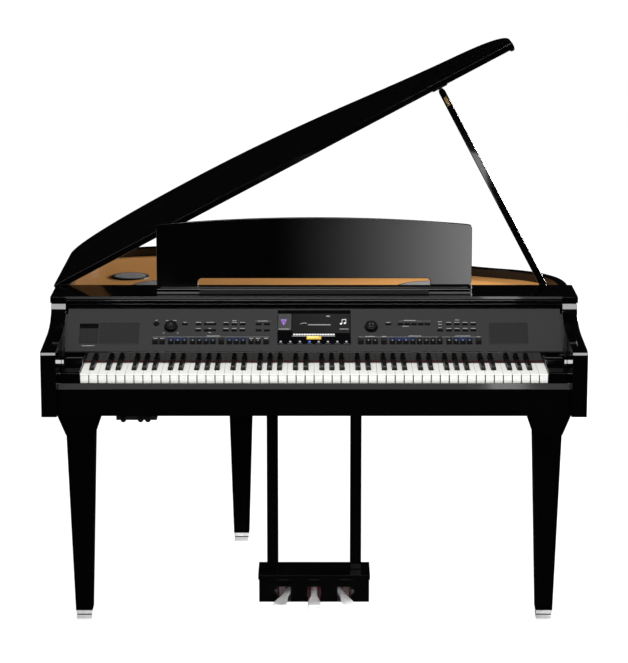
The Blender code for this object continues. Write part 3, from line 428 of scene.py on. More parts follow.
# Underneath, the keybed and the bottom board are laminated sheets, sprayed with a thin satin black paint that
# lets the plies show as faint lines. They are screwed up into the case sides.
moulded, entry, leave = group_of("fine_grain", {"Grains per Metre": 1500.0}, ("Height", "Shade"))
fine = {"Detail": 3.0, "Scale": entry["Grains per Metre"], "Vector": place_in(moulded)}
grain = added(moulded, "TexNoise", fine).outputs["Fac"]
feed(moulded, leave, {"Height": grain, "Shade": between(moulded, grain, 0.35, 0.70)})


def grained_finish(name, colour, lighter, roughness, per_metre, depth, specular=0.5, metallic=0.0, dust=0.3):
    """A finish whose fine grain shows in both its colour and its surface."""
    material, tree, shader = plain_finish(name, colour, roughness, specular, metallic)
    grain = placed(tree, moulded, Grains_per_Metre=per_metre)
    body = blended(tree, grain["Shade"], colour, lighter)
    aged(tree, shader, body, toned(lighter, 0.8, 0.06), roughness, dust, 0.2)
    relief(tree, shader, grain["Height"], depth)
    return material


satin_paint = grained_finish("satin_black_paint", grey(0.008), (0.013, 0.013, 0.012), 0.5, 380, 0.00012, 0.3)
carried(satin_paint, 0.0015, "keybed")
carried(satin_paint, 0.0010, "bottom_board")

# The soundboard is quarter-sawn spruce under amber varnish, with its grain running aslant, glued in behind
# the top board. A dark-brown veneered lining stands round it inside the rim.
GRAIN_SLANT = math.radians(32)
wood, entry, leave = group_of(
    "split_grain", {"Rings per Metre": 260.0, "Slant": GRAIN_SLANT}, ("Late Wood", "Height"),
)
turn = {"Vector": place_in(wood), "Angle": entry["Slant"]}
slanted = added(wood, "VectorRotate", turn, rotation_type="Z_AXIS").outputs[0]
uneven = {"Distortion": 2.2, "Detail": 3.0, "Detail Scale": 0.6}
grown = {"Scale": entry["Rings per Metre"], "Vector": slanted, **uneven}
rings = added(wood, "TexWave", grown, bands_direction="X").outputs["Fac"]
fibres = stretched_noise(wood, (1600, 30, 200), 2, slanted)
late = maths(wood, "ADD", maths(wood, "MULTIPLY", rings, 0.7), maths(wood, "MULTIPLY", fibres, 0.3))
feed(wood, leave, {"Late Wood": late, "Height": fibres})


def wooden_finish(name, early, late_wood, roughness, rings_per_metre, slant):
    material, tree, shader = plain_finish(name, early, roughness, 0.4)
    grain = placed(tree, wood, Rings_per_Metre=rings_per_metre, Slant=slant)
    marks = placed(tree, handled, Dust=0.3, Hairlines=0.1)
    feed(tree, shader, {
        "Base Color": blended(tree, grain["Late Wood"], early, late_wood),
        "Roughness": maths(tree, "ADD", marks["Roughness Rise"], roughness),
    })
    relief(tree, shader, grain["Height"], 0.00008)
    return material


SPRUCE, SPRUCE_LATE = (0.66, 0.33, 0.105), (0.46, 0.20, 0.055)
amber_spruce = wooden_finish("amber_spruce", SPRUCE, SPRUCE_LATE, 0.28, 75.0, GRAIN_SLANT)
carried(amber_spruce, 0.0008, "soundboard")
brown_veneer = wooden_finish("brown_veneer", (0.013, 0.0095, 0.0075), (0.008, 0.006, 0.005), 0.32, 160.0, 0.0)
LINING_THICK, LINING_GAP = 0.0030, 0.0004
LINING_TOP = CASE_TOP - 0.0030
(_, BOARD_FRONT, _), (_, _, BOARD_TOP) = cased("soundboard")
outer, inner = plan_curve(RIM_THICK + LINING_GAP), plan_curve(RIM_THICK + LINING_THICK)
lining_outline = [
    (outer[0][0], BOARD_FRONT), *outer, (outer[-1][0], BOARD_FRONT),
    (inner[-1][0], BOARD_FRONT), *reversed(inner), (inner[0][0], BOARD_FRONT),
]
lining = prism(bmesh.new(), lining_outline, BOARD_TOP + 0.0003, LINING_TOP)
make("rim_lining", lining, brown_veneer, "case", round_by=0.0008, segments=2)

# Speakers: a pressed steel basket with a rolled rubber surround, a ribbed paper cone and a dust cap, screwed
# to the soundboard through its flange, under a domed grille of grey perforated metal.
SPEAKERS = {"left_woofer": (-0.430, 0.672), "right_woofer": (0.330, 0.655), "left_midrange": (-0.535, 0.835)}
FLANGE_SCREWS = 8
FLANGE_TOP = 0.0040
MESH_PITCH = 0.0022
MAGNET_HIGH, RUBBER_THICK, PAPER_THICK = 0.020, 0.0008, 0.0030


def at(spot, quarters=0, axis="X"):
    """A place, turned there by so many quarter turns."""
    return Matrix.Translation(spot) @ Matrix.Rotation(quarters * math.pi / 2, 4, axis)


def turned(bm, profile, steps=64, place=FLAT):
    """Turns a profile, from the axis at its top round to the axis again, about Z."""
    rings = []
    for radius, height in profile:
        angles = [2 * math.pi * i / steps for i in range(steps if radius else 1)]
        ring = [(radius * math.cos(a), radius * math.sin(a), height) for a in angles]
        rings.append([bm.verts.new(place @ Vector(point)) for point in ring])
    return skin(bm, rings)


def screw_head(bm, place, radius):
    """A pan head with its round driver recess."""
    high = 0.36 * radius
    turned(bm, [
        (0, -0.2 * high), (0.42 * radius, -0.2 * high), (0.50 * radius, high), (0.80 * radius, 0.86 * high),
        (radius, 0.2 * high), (radius, -0.4 * high), (0, -0.4 * high),
    ], 16, place)


def perforated_finish(name, specular, pitch, hole, metal, hole_edge, metal_edge, tilt=0.0):
    """Sheet metal with round holes at even steps, on a slope that rises towards the back by tilt."""
    material, tree, shader = plain_finish(name, metal, 0.6, specular)
    level = added(tree, "VectorRotate", {"Vector": place_in(tree), "Angle": -tilt}, rotation_type="X_AXIS")
    holes = {"Scale": 1 / pitch, "Randomness": 0.0, "Vector": level.outputs[0]}
    distance = added(tree, "TexVoronoi", holes, voronoi_dimensions="2D").outputs["Distance"]
    metal_left = between(tree, distance, hole_edge, metal_edge)
    feed(tree, shader, {"Base Color": blended(tree, metal_left, hole, metal)})
    relief(tree, shader, metal_left, 0.0004)
    return material


PAPER, PAPER_LIGHT = (0.020, 0.020, 0.021), (0.034, 0.034, 0.035)
cone_paper = grained_finish("speaker_paper", PAPER, PAPER_LIGHT, 0.75, 700, 0.0002, 0.3)
surround_rubber = grained_finish("surround_rubber", grey(0.010), grey(0.016), 0.45, 900, 0.00006)
black_steel = grained_finish("pressed_black_steel", grey(0.006), grey(0.010), 0.42, 2200, 0.00003, 0.25)
speaker_mesh = perforated_finish(
    "grey_speaker_mesh", 0.2, MESH_PITCH, (0.045, 0.045, 0.046), grey(0.22), 0.28, 0.40,
)
for name, (x, d) in SPEAKERS.items():
    low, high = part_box(name)
    radius = (high.x - low.x) / 2
    throat, magnet = radius - 0.011, 0.55 * radius
    deep = magnet + 0.020
    basket = turned(bmesh.new(), [
        (0, -0.36 * radius), (throat - 0.003, -0.006), (throat - 0.001, -0.001), (throat - 0.001, 0.0022),
        (radius - 0.012, FLANGE_TOP), (radius - 0.003, FLANGE_TOP), (radius - 0.001, 0.0034),
        (radius, 0.0022), (radius, 0.0004), (throat, 0.0004), (throat, -0.012), (magnet, -deep),
        (magnet, 0.002 - deep - MAGNET_HIGH), (magnet - 0.002, -deep - MAGNET_HIGH), (0, -deep - MAGNET_HIGH),
    ])
    for i in range(FLANGE_SCREWS):
        angle = 2 * math.pi * (i + 0.5) / FLANGE_SCREWS
        around = Vector((math.cos(angle), math.sin(angle), 0)) * (radius - 0.0065)
        screw_head(basket, at((around.x, around.y, FLANGE_TOP)), 0.0022)
    roll = []
    for i in range(11):
        roll.append((throat - 0.002 - 0.010 * i / 10, RUBBER_THICK + 0.0030 * math.sin(math.pi * i / 10)))
    under = [(r, z - RUBBER_THICK) for r, z in reversed(roll)]
    edge, foot = roll[-1][0] + 0.0005, 0.30 * radius
    cone = []
    for i in range(19):
        along = i / 18
        rib = 0.0004 * math.sin(along * 6 * math.pi)
        cone.append((edge + (foot - edge) * along, 0.0006 - 0.32 * radius * along ** 0.8 + rib))
    foot_level = cone[-1][1]
    cap = []
    for i in range(10):
        angle = math.radians(9 * i)
        cap.append((foot * math.cos(angle), foot_level + 0.28 * foot * math.sin(angle)))
    paper = turned(bmesh.new(), [
        (0, cap[-1][1] + 0.0002), *reversed(cap[:-1]), *reversed(cone), (edge, cone[0][1] - 0.0006),
        (foot, foot_level - PAPER_THICK), (0, foot_level - PAPER_THICK),
    ])
    half = radius - 0.0085
    grille = turned(bmesh.new(), [
        (0, 0.0053), (0.5 * half, 0.0051), (0.85 * half, 0.0047), (half - 0.0008, 0.0043), (half, 0.0036),
        (half - 0.0006, 0.0030), (0.85 * half, 0.0035), (0, 0.0041),
    ])
    for part, bm, finish, nodes in (
        ("_basket", basket, black_steel, (name,)),
        ("_surround", turned(bmesh.new(), [*roll, *under, roll[0]]), surround_rubber, ()),
        ("_cone", paper, cone_paper, ()), ("_grille", grille, speaker_mesh, ()),
    ):
        make(name + part, bm, finish, "case", nodes, in_case @ at((x, d, BOARD_TOP)))

# Keys: each white key is a wooden stick with a moulded ivory-like cover that laps over its front, and each
# black key a tapered cap on its stick. All turn on a balance pin under the control panel.
WHITE_KEYS, KEY_PITCH, KEY_GAP = 52, 0.0236, 0.0006
KEY_FRONT, KEY_END = 0.045, 0.2745
KEY_BOTTOM, KEY_TOP = 0.752, 0.776
COVER_BOTTOM, COVER_LAP = 0.7732, 0.0010
NOTCH_WIDTH, NOTCH_FRONT = 0.014, 0.0915
BLACK_FRONT, BLACK_CAP_BACK, BLACK_TOP = 0.0935, 0.1755, 0.788
BLACK_FOOT_HALF, BLACK_TOP_HALF, BLACK_ROUND = 0.0063, 0.0049, 0.0012
BLACK_SHIFT = {1: -0.0019, 2: 0.0019, 4: -0.0030, 5: 0.0, 6: 0.0030}
WHITE_NAMES = ("c", "d", "e", "f", "g", "a", "b")
FIRST_MOVING = 23
KEYBOARD_LEFT = -WHITE_KEYS * KEY_PITCH / 2
moving_whites = range(FIRST_MOVING, FIRST_MOVING + len(WHITE_NAMES))


def black_at(joint):
    """The middle of the black key over the joint left of this white key, or None."""
    step = (joint - 2) % 7
    if step not in BLACK_SHIFT or not 0 < joint < WHITE_KEYS:
        return None
    return KEYBOARD_LEFT + joint * KEY_PITCH + BLACK_SHIFT[step]


def white_outline(index, inset=0.0):
    """One white key seen from above, drawn in by inset at its front and sides."""
    left = KEYBOARD_LEFT + index * KEY_PITCH + KEY_GAP / 2 + inset
    right = left + KEY_PITCH - KEY_GAP - 2 * inset
    front, notch = KEY_FRONT + inset, NOTCH_FRONT - inset
    black_left, black_right = black_at(index), black_at(index + 1)
    outline = [(left, front), (right, front)]
    if black_left is None:
        outline = [(left, KEY_END), *outline]
    else:
        tail = black_left + NOTCH_WIDTH / 2 + inset
        outline = [(tail, KEY_END), (tail, notch), (left, notch), *outline]
    if black_right is None:
        return [*outline, (right, KEY_END)]
    tail = black_right - NOTCH_WIDTH / 2 - inset
    return [*outline, (right, notch), (tail, notch), (tail, KEY_END)]


def brick(bm, low, high):
    """A rectangular stretch between two corners."""
    (x0, y0, z0), (x1, y1, z1) = low, high
    return prism(bm, [(x0, y0), (x1, y0), (x1, y1), (x0, y1)], z0, z1)


def white_key(bm, index):
    prism(bm, white_outline(index), COVER_BOTTOM, KEY_TOP)
    return prism(bm, white_outline(index, COVER_LAP), KEY_BOTTOM, COVER_BOTTOM + 0.0003)


def black_key(bm, middle):
    """A cap crowned across its top, on a stick that runs back under the panel."""
    rings = []
    sections = (
        (BLACK_FRONT, BLACK_TOP - 0.0105), (BLACK_FRONT + 0.0030, BLACK_TOP - 0.0040),
        (BLACK_FRONT + 0.0062, BLACK_TOP - 0.0009), (BLACK_FRONT + 0.0100, BLACK_TOP - 0.0001),
        (0.150, BLACK_TOP), (BLACK_CAP_BACK, BLACK_TOP),
    )
    for d, top in sections:
        rise = (top - KEY_TOP) / (BLACK_TOP - KEY_TOP)
        half = BLACK_FOOT_HALF + (BLACK_TOP_HALF - BLACK_FOOT_HALF) * max(rise, 0)
        across = [
            (-BLACK_FOOT_HALF, KEY_BOTTOM), (-BLACK_FOOT_HALF, min(KEY_TOP, top)),
            (-half, top - BLACK_ROUND), (-half + BLACK_ROUND, top - 0.0002), (0, top),
            (half - BLACK_ROUND, top - 0.0002), (half, top - BLACK_ROUND),
            (BLACK_FOOT_HALF, min(KEY_TOP, top)), (BLACK_FOOT_HALF, KEY_BOTTOM),
        ]
        rings.append([bm.verts.new((middle + x, d, z)) for x, z in across])
    skin(bm, rings, capped=True)
    low = (middle - BLACK_FOOT_HALF, BLACK_CAP_BACK - 0.002, KEY_BOTTOM + 0.001)
    return brick(bm, low, (middle + BLACK_FOOT_HALF, KEY_END, KEY_TOP + 0.0004))


ivory = grained_finish("key_ivory", (0.82, 0.82, 0.79), (0.86, 0.86, 0.835), 0.20, 420, 0.000012)
ebony = grained_finish("key_ebony", grey(0.0050), (0.0090, 0.0085, 0.0085), 0.36, 900, 0.00002, 0.2)
fixed_whites, fixed_blacks = bmesh.new(), bmesh.new()
for index in range(WHITE_KEYS):
    if index in moving_whites:
        node = "key_" + WHITE_NAMES[index - FIRST_MOVING]
        key = white_key(bmesh.new(), index)
        make(node + "_stick", key, ivory, node, (node,), round_by=0.0006, segments=2)
    else:
        white_key(fixed_whites, index)
for joint in range(1, WHITE_KEYS):
    middle = black_at(joint)
    if middle is None:
        continue
    if joint - 1 in moving_whites and joint in moving_whites:
        node = "key_" + WHITE_NAMES[joint - 1 - FIRST_MOVING] + "_sharp"
        key = black_key(bmesh.new(), middle)
        make(node + "_stick", key, ebony, node, (node,), round_by=0.0003, segments=2)
    else:
        black_key(fixed_blacks, middle)
for bank, bm, finish, rail_front, rail_back in (
    ("white_keys", fixed_whites, ivory, 0.2758, cased("white_keys")[1][1]),
    ("black_keys", fixed_blacks, ebony, 0.232, 0.262),
):
    (left, _, foot), (right, _, _) = cased(bank)
    brick(bm, (left, rail_front, foot), (right, rail_back, KEY_BOTTOM - 0.003))
    make("fixed_" + bank, bm, finish, "case", (bank,), round_by=0.0006, segments=2)

# A red felt strip dresses the joint between the keys and the strip behind them. At each end stands the dark
# metal link that the folding key cover swings on.
felt, _, leave = group_of("felt_fibres", {}, ("Height", "Shade"))
coarse = maths(felt, "MULTIPLY", stretched_noise(felt, grey(2600), 5), 0.6)
tufts = maths(felt, "MULTIPLY", stretched_noise(felt, grey(420), 3), 0.4)
nap = maths(felt, "ADD", coarse, tufts)
feed(felt, leave, {"Height": nap, "Shade": between(felt, nap, 0.35, 0.65)})


def felt_finish(name, colour, lighter):
    material, tree, shader = plain_finish(name, colour, 0.95, 0.2)
    fibres = placed(tree, felt)
    feed(tree, shader, {"Base Color": blended(tree, fibres["Shade"], colour, lighter), "Sheen Weight": 0.10})
    relief(tree, shader, fibres["Height"], 0.0004)
    return material


red_felt = felt_finish("red_felt", (0.024, 0.002, 0.003), (0.050, 0.004, 0.006))
felt_side = [(0.1778, 0.7786), (0.1793, 0.7786), (0.1793, 0.7824), (0.1784, 0.7826), (0.1777, 0.7814)]
felt_half = -KEYBOARD_LEFT - 0.001
felt_strip = prism(bmesh.new(), felt_side, -felt_half, felt_half, LENGTHWAYS)
make("red_felt_strip", felt_strip, red_felt, "case", round_by=0.0003, segments=2)

dark_metal = grained_finish(
    "dark_cast_metal", (0.006, 0.006, 0.0065), (0.011, 0.011, 0.0115), 0.40, 1300, 0.00003, 0.15,
)
LINK_INSIDE = 0.6640
link_outline = [
    (0.1500, 0.7985), (0.1560, 0.7975), (0.1760, 0.7985), (0.1780, 0.8080), (0.1690, 0.8200),
    (0.1680, 0.8330), (0.1730, 0.8450), (0.1700, 0.8510), (0.1620, 0.8500), (0.1560, 0.8330),
    (0.1490, 0.8160),
]
for side, name in ((-1, "left"), (1, "right")):
    inner, outer = sorted((side * LINK_INSIDE, side * (ARM_INSIDE - 0.0006)))
    link = prism(bmesh.new(), link_outline, inner, outer, LENGTHWAYS)
    screw_head(link, at((side * LINK_INSIDE, 0.1640, 0.8080), -side, "Y"), 0.0034)
    make(name + "_cover_link", link, dark_metal, "case", round_by=0.0012, segments=2)

# Control panel: a moulded charcoal plate on a slope, with a perforated grille near each end, a socket bay, a
# black glass display, two dials, and rows of push buttons whose caps are moulded together in strips.
PANEL_MIDDLE = (0.2425, 0.8535)
PANEL_SLOPE = math.radians(38.96)
in_panel = in_case @ Matrix.Translation((0, *PANEL_MIDDLE)) @ Matrix.Rotation(PANEL_SLOPE, 4, "X")
charcoal = grained_finish(
    "charcoal_moulding", (0.0195, 0.0195, 0.0200), (0.0250, 0.0250, 0.0256), 0.55, 1900, 0.00004, 0.15,
)
carried(charcoal, 0.0006, "control_panel")


def on_panel(name, bm, finish, round_by=0.0003, body="case", segments=3):
    make(name, bm, finish, body, place=in_panel, round_by=round_by, segments=segments)


GRILLES = (("left", -0.5755, -0.4709), ("right", 0.4706, 0.5725))
GRILLE_FOOT, GRILLE_HEAD, GRILLE_PITCH = -0.0465, 0.0232, 0.0017
EDGE, EDGE_FOOT, EDGE_LOW, EDGE_HIGH = 0.0012, 0.0022, -0.001, 0.0009
perforated = perforated_finish(
    "perforated_grille", 0.12, GRILLE_PITCH, grey(0.004), (0.026, 0.026, 0.027), 0.26, 0.38, PANEL_SLOPE,
)
for side, left, right in GRILLES:
    sheet = brick(bmesh.new(), (left, GRILLE_FOOT, -0.0010), (right, GRILLE_HEAD, 0.0004))
    on_panel(side + "_grille", sheet, perforated)
    surround = bmesh.new()
    for x0, x1, y0, y1 in (
        (left - EDGE, right + EDGE, GRILLE_FOOT - EDGE_FOOT, GRILLE_FOOT),
        (left - EDGE, right + EDGE, GRILLE_HEAD, GRILLE_HEAD + EDGE),
        (left - EDGE, left, GRILLE_FOOT, GRILLE_HEAD), (right, right + EDGE, GRILLE_FOOT, GRILLE_HEAD),
    ):
        brick(surround, (x0, y0, EDGE_LOW), (x1, y1, EDGE_HIGH))
    on_panel(side + "_grille_frame", surround, satin_paint)

# The socket bay is a black insert with a hinged door over a data socket and a dull tray under it.
gloss_black = used_finish("gloss_black_moulding", (0.0025, 0.0025, 0.003), 0.16, 0.12)
BAY_LEFT, BAY_RIGHT, BAY_FOOT, BAY_HEAD = -0.6298, -0.5796, -0.0465, 0.0212
DOOR_FOOT = 0.0050
bay = bmesh.new()
brick(bay, (BAY_LEFT, BAY_FOOT, -0.001), (BAY_RIGHT, DOOR_FOOT, 0.0005))
brick(bay, (BAY_LEFT + 0.0030, BAY_FOOT + 0.0030, 0), (BAY_RIGHT - 0.0030, DOOR_FOOT - 0.0040, 0.0012))
dull_tray = grained_finish(
    "dull_tray", (0.009, 0.009, 0.0095), (0.013, 0.013, 0.0135), 0.6, 1500, 0.00005, 0.15,
)
on_panel("socket_tray", bay, dull_tray, 0.0004)
door = brick(bmesh.new(), (BAY_LEFT, DOOR_FOOT + 0.0006, -0.001), (BAY_RIGHT, BAY_HEAD, 0.0012))
brick(door, (BAY_LEFT + 0.018, DOOR_FOOT + 0.0055, 0.001), (BAY_RIGHT - 0.018, DOOR_FOOT + 0.0110, 0.0018))
on_panel("socket_door", door, gloss_black, 0.0005)

# The buttons' dark caps carry a tinted translucent label each: blue where its lamp is lit.
soft_black = grained_finish(
    "soft_black_moulding", (0.0020, 0.0020, 0.0022), (0.0035, 0.0035, 0.0037), 0.45, 1700, 0.00003, 0.04,
    dust=0.08,
)
LEFT_BODY, RIGHT_BODY = "lower_left_buttons", "lower_right_buttons"
carried(soft_black, 0.0005, LEFT_BODY, RIGHT_BODY, "upper_left_buttons", "upper_right_buttons")
carried(soft_black, 0.0004, "power_button")
ROW_PITCH = 0.0181
CAP_TOP = 0.0020
LABEL_FOOT, LABEL_HEAD, LABEL_HALF = -0.0379, -0.0279, 0.0071


def run_of(first, count):
    return [first + i * ROW_PITCH for i in range(count)]


def lamp_finish(name, colour, glow_colour, strength):
    material, tree, shader = plain_finish(name, colour, 0.35, 0.04)
    lens = placed(tree, moulded, Grains_per_Metre=260.0)["Shade"]
    feed(tree, shader, {
        "Base Color": blended(tree, lens, toned(colour, 0.55), colour),
        "Emission Color": blended(tree, lens, toned(glow_colour, 0.5), glow_colour),
        "Emission Strength": strength,
    })
    return material


unlit_label = grained_finish(
    "unlit_label", (0.012, 0.012, 0.0125), (0.017, 0.017, 0.0175), 0.35, 700, 0.00001, 0.04, dust=0.1,
)
blue_label = lamp_finish("lit_blue_label", (0.012, 0.018, 0.045), (0.08, 0.14, 0.40), 0.07)
deep_blue_label = lamp_finish("bright_blue_label", (0.012, 0.020, 0.065), (0.08, 0.15, 0.55), 0.12)
teal_label = lamp_finish("dim_teal_label", (0.012, 0.020, 0.030), (0.06, 0.12, 0.24), 0.05)
labels = (
    ("left_unlit_labels", LEFT_BODY, unlit_label, [*run_of(-0.4252, 2), -0.3252, -0.2486]),
    ("left_end_labels", LEFT_BODY, unlit_label, [*run_of(-0.1684, 2), -0.1285]),
    ("left_blue_labels", LEFT_BODY, blue_label, [-0.3837, -0.3475, -0.2083, -0.2264, -0.1902]),
    ("left_bright_label", LEFT_BODY, deep_blue_label, [-0.3656]),
    ("left_teal_labels", LEFT_BODY, teal_label, [-0.3071, -0.2890, -0.2709]),
    ("right_unlit_labels", RIGHT_BODY, unlit_label, [0.1252, *run_of(0.1455, 2), 0.1869, *run_of(0.2820, 4)]),
    ("right_end_labels", RIGHT_BODY, unlit_label, [0.3618, 0.4403]),
    ("right_blue_labels", RIGHT_BODY, blue_label, [0.2096, 0.2639, 0.3799, 0.4161]),
    ("right_bright_labels", RIGHT_BODY, deep_blue_label, [0.2277, 0.2458, 0.3980]),
)
for name, strip, tint, places in labels:
    lenses = bmesh.new()
    for x in places:
        low = (x - LABEL_HALF, LABEL_FOOT, CAP_TOP - 0.0006)
        brick(lenses, low, (x + LABEL_HALF, LABEL_HEAD, CAP_TOP + 0.0003))
    on_panel(name, lenses, tint, body=strip, segments=2)

# Pale ink on the panel: a broken dash stands for each word beside a button or dial, and a fine rule over
# each group. On the lit row each button has one small mark of its own.
pale_ink = grained_finish("pale_grey_ink", grey(0.34), grey(0.46), 0.5, 1100, 0.00001, 0.1)
INK = 0.00025
DASH, DASH_GAP = 0.0013, 0.0006


def dashes(bm, middle, row, width, height=0.0022, level=0.0):
    """A word's place: short dashes along X."""
    count = max(round(width / (DASH + DASH_GAP)), 1)
    left = middle - (count * (DASH + DASH_GAP) - DASH_GAP) / 2
    for i in range(count):
        x = left + i * (DASH + DASH_GAP)
        tall = height * (1.0 if i % 3 else 0.72)
        brick(bm, (x, row - height / 2, level - INK), (x + DASH, row - height / 2 + tall, level + INK))


ink = bmesh.new()
UPPER_NAME, MIDDLE_NAME = 0.0262, 0.0052
for x in (-0.2370, -0.2147, -0.1927, 0.3623, 0.3843, 0.4060, 0.4278):
    dashes(ink, x, UPPER_NAME, 0.013)
    dashes(ink, x, MIDDLE_NAME, 0.013)
for x, row, width in (
    (-0.4247, 0.0335, 0.006), (-0.3850, 0.0325, 0.028), (-0.4040, -0.0105, 0.005), (-0.3660, -0.0105, 0.006),
    (-0.3477, UPPER_NAME, 0.010), (-0.3113, UPPER_NAME, 0.016), (-0.2801, UPPER_NAME, 0.020),
    (-0.3113, MIDDLE_NAME, 0.014), (-0.2801, MIDDLE_NAME, 0.008), (-0.2801, -0.0090, 0.008),
    (-0.2147, 0.0322, 0.012), (-0.1380, 0.0310, 0.026), (0.1997, UPPER_NAME, 0.012), (0.2570, 0.0330, 0.032),
    (0.2460, 0.0125, 0.018), (0.3383, 0.0285, 0.012), (0.3383, 0.0190, 0.010), (0.3383, 0.0080, 0.010),
    (0.3850, 0.0345, 0.012), (-0.2700, -0.0210, 0.036), (0.2700, -0.0210, 0.034), (0.3980, -0.0210, 0.042),
    (0.1500, -0.0225, 0.026), (0.1869, -0.0225, 0.012), (0.4403, -0.0240, 0.010), (-0.6048, -0.0545, 0.034),
):
    dashes(ink, x, row, width)
for left, right in ((-0.4340, -0.1200), (0.1180, 0.3330), (0.3430, 0.4490)):
    brick(ink, (left, -0.0247, -INK), (right, -0.0242, INK))
brick(ink, (-0.1590, 0.0308, -INK), (-0.1160, 0.0311, INK))
brick(ink, (0.2280, 0.0308, -INK), (0.3140, 0.0311, INK))
FINEST_ROUND = 0.00005
on_panel("panel_marks", ink, pale_ink, FINEST_ROUND, segments=1)
left_places = [*run_of(-0.3837, 3), *run_of(-0.3252, 4), *run_of(-0.2264, 3), *run_of(-0.1684, 2)]
right_places = [*run_of(0.1455, 2), *run_of(0.2096, 8), *run_of(0.3618, 4)]
wide_places = [*run_of(-0.4252, 2), -0.1684, -0.1503, -0.1285]
for name, strip, places, row, width, height in (
    ("lower_left_marks", LEFT_BODY, left_places, -0.0372, 0.0035, 0.0024),
    ("lower_right_marks", RIGHT_BODY, right_places, -0.0372, 0.0035, 0.0024),
    ("wide_button_marks", LEFT_BODY, wide_places, -0.0310, 0.0110, 0.0030),
):
    marks = bmesh.new()
    for x in places:
        dashes(marks, x, row, width, height, CAP_TOP + 0.0004)
    on_panel(name, marks, pale_ink, FINEST_ROUND, strip, segments=1)

# Dials: a knurled rubber-black knob with a dished face; the volume dial has a pointer, the data dial four
# pale arrow heads.
DIAL_RADIUS, KNURLS, RIB_DEPTH = 0.0165, 48, 0.00045
SHAFT_RADIUS, SHAFT_END = 0.004, -0.014
MARK_FOOT, MARK_TOP = 0.0084, 0.0088
dial_faces = {"volume_dial": (-0.3850, 0.0100), "data_dial": (0.1535, 0.0095)}


def arc(centre, radius, start, end, steps):
    angles = [math.radians(start + (end - start) * i / steps) for i in range(steps + 1)]
    return [(centre[0] + radius * math.cos(a), centre[1] + radius * math.sin(a)) for a in angles]


def knurled(bm, radius):
    """A knob whose side carries fine ribs between a smooth foot and a smooth rim, and its shaft."""
    levels = (
        (0.0085, 0.55 * radius, 0), (0.0086, 0.66 * radius, 0), (0.0105, 0.80 * radius, 0),
        (0.0107, 0.88 * radius, 0), (0.0104, 0.93 * radius, 0), (0.0092, 0.975 * radius, 1),
        (0.0030, 1.0 * radius, 1), (0.0012, 0.99 * radius, 0), (0.0006, 0.96 * radius, 0),
        (0.0006, SHAFT_RADIUS, 0), (SHAFT_END, SHAFT_RADIUS, 0),
    )
    rings = [[bm.verts.new((0, 0, 0.0083))]]
    for z, reach, ribbed in levels:
        ring = []
        for i in range(4 * KNURLS):
            angle = 2 * math.pi * i / (4 * KNURLS)
            out = reach - RIB_DEPTH * ribbed * (i % 4 in (0, 3))
            ring.append(bm.verts.new((out * math.cos(angle), out * math.sin(angle), z)))
        rings.append(ring)
    return skin(bm, [*rings, [bm.verts.new((0, 0, SHAFT_END))]])


knob_black = grained_finish(
    "knob_black", (0.0025, 0.0025, 0.0027), (0.0045, 0.0045, 0.0047), 0.36, 1900, 0.00002, 0.10, dust=0.1,
)
grey_ink = grained_finish("mid_grey_ink", grey(0.10), grey(0.15), 0.45, 1100, 0.00001, 0.3)
volume_marks = brick(bmesh.new(), (-0.0006, 0.0040, MARK_FOOT), (0.0006, 0.0082, MARK_TOP))
for turned_by in (40, 140, 220, 320):
    x, y = arc((0, 0), 0.0045, turned_by, turned_by, 1)[0]
    brick(volume_marks, (x - 0.0012, y - 0.0004, MARK_FOOT), (x + 0.0012, y + 0.0004, MARK_TOP - 0.0001))
data_marks = bmesh.new()
for turned_by in (45, 135, 225, 315):
    a = math.radians(turned_by)
    tip, wing = Vector((math.cos(a), math.sin(a))), Vector((-math.sin(a), math.cos(a)))
    head = [tip * 0.0080, tip * 0.0050 + wing * 0.0024, tip * 0.0056, tip * 0.0050 - wing * 0.0024]
    prism(data_marks, [tuple(point) for point in head], MARK_FOOT, MARK_TOP)
ring = bmesh.new()
inner, outer = DIAL_RADIUS + 0.0004, DIAL_RADIUS + 0.0019
ring_top = [(inner, 0.0006), (outer - 0.0004, 0.0007)]
ring_profile = [(inner, -0.0002), *ring_top, (outer, -0.0002), (inner, -0.0002)]
for name, face in (("volume_dial", volume_marks), ("data_dial", data_marks)):
    x, y = dial_faces[name]
    at_dial = in_panel @ at((x, y, 0))
    knob = knurled(bmesh.new(), DIAL_RADIUS)
    make(name + "_knob", knob, knob_black, name, (name,), place=at_dial)
    make(name + "_marks", face, grey_ink, name, (), at_dial, FINEST_ROUND, 1)
    turned(ring, ring_profile, place=at((x, y, 0)))
on_panel("dial_surrounds", ring, gloss_black, 0.0)

# Display: a black glass sheet in a thin bezel. Under it a lit picture: a tile, captions, a strip of keys with
# an amber bar, and a row of small round buttons.
glass = used_finish("display_glass", (0.002, 0.002, 0.0025), 0.06, 0.2, dust=0.3, hairlines=0.3)
carried(glass, 0.0004, "display")
SCREEN_LEFT, SCREEN_FOOT, SCREEN_RIGHT, SCREEN_HEAD = -0.098, -0.0503, 0.098, 0.0689
LIP, BEZEL_LOW, BEZEL_HIGH = 0.0009, -0.0011, 0.0004
bezel = bmesh.new()
for left, foot, right, head in (
    (SCREEN_LEFT, SCREEN_FOOT, SCREEN_RIGHT, SCREEN_FOOT + LIP),
    (SCREEN_LEFT, SCREEN_HEAD - LIP, SCREEN_RIGHT, SCREEN_HEAD),
    (SCREEN_LEFT, SCREEN_FOOT, SCREEN_LEFT + LIP, SCREEN_HEAD),
    (SCREEN_RIGHT - LIP, SCREEN_FOOT, SCREEN_RIGHT, SCREEN_HEAD),
):
    brick(bezel, (left, foot, BEZEL_LOW), (right, head, BEZEL_HIGH))
on_panel("display_bezel", bezel, gloss_black, segments=2)
SCREEN, LAYER = -0.0010, 0.00008


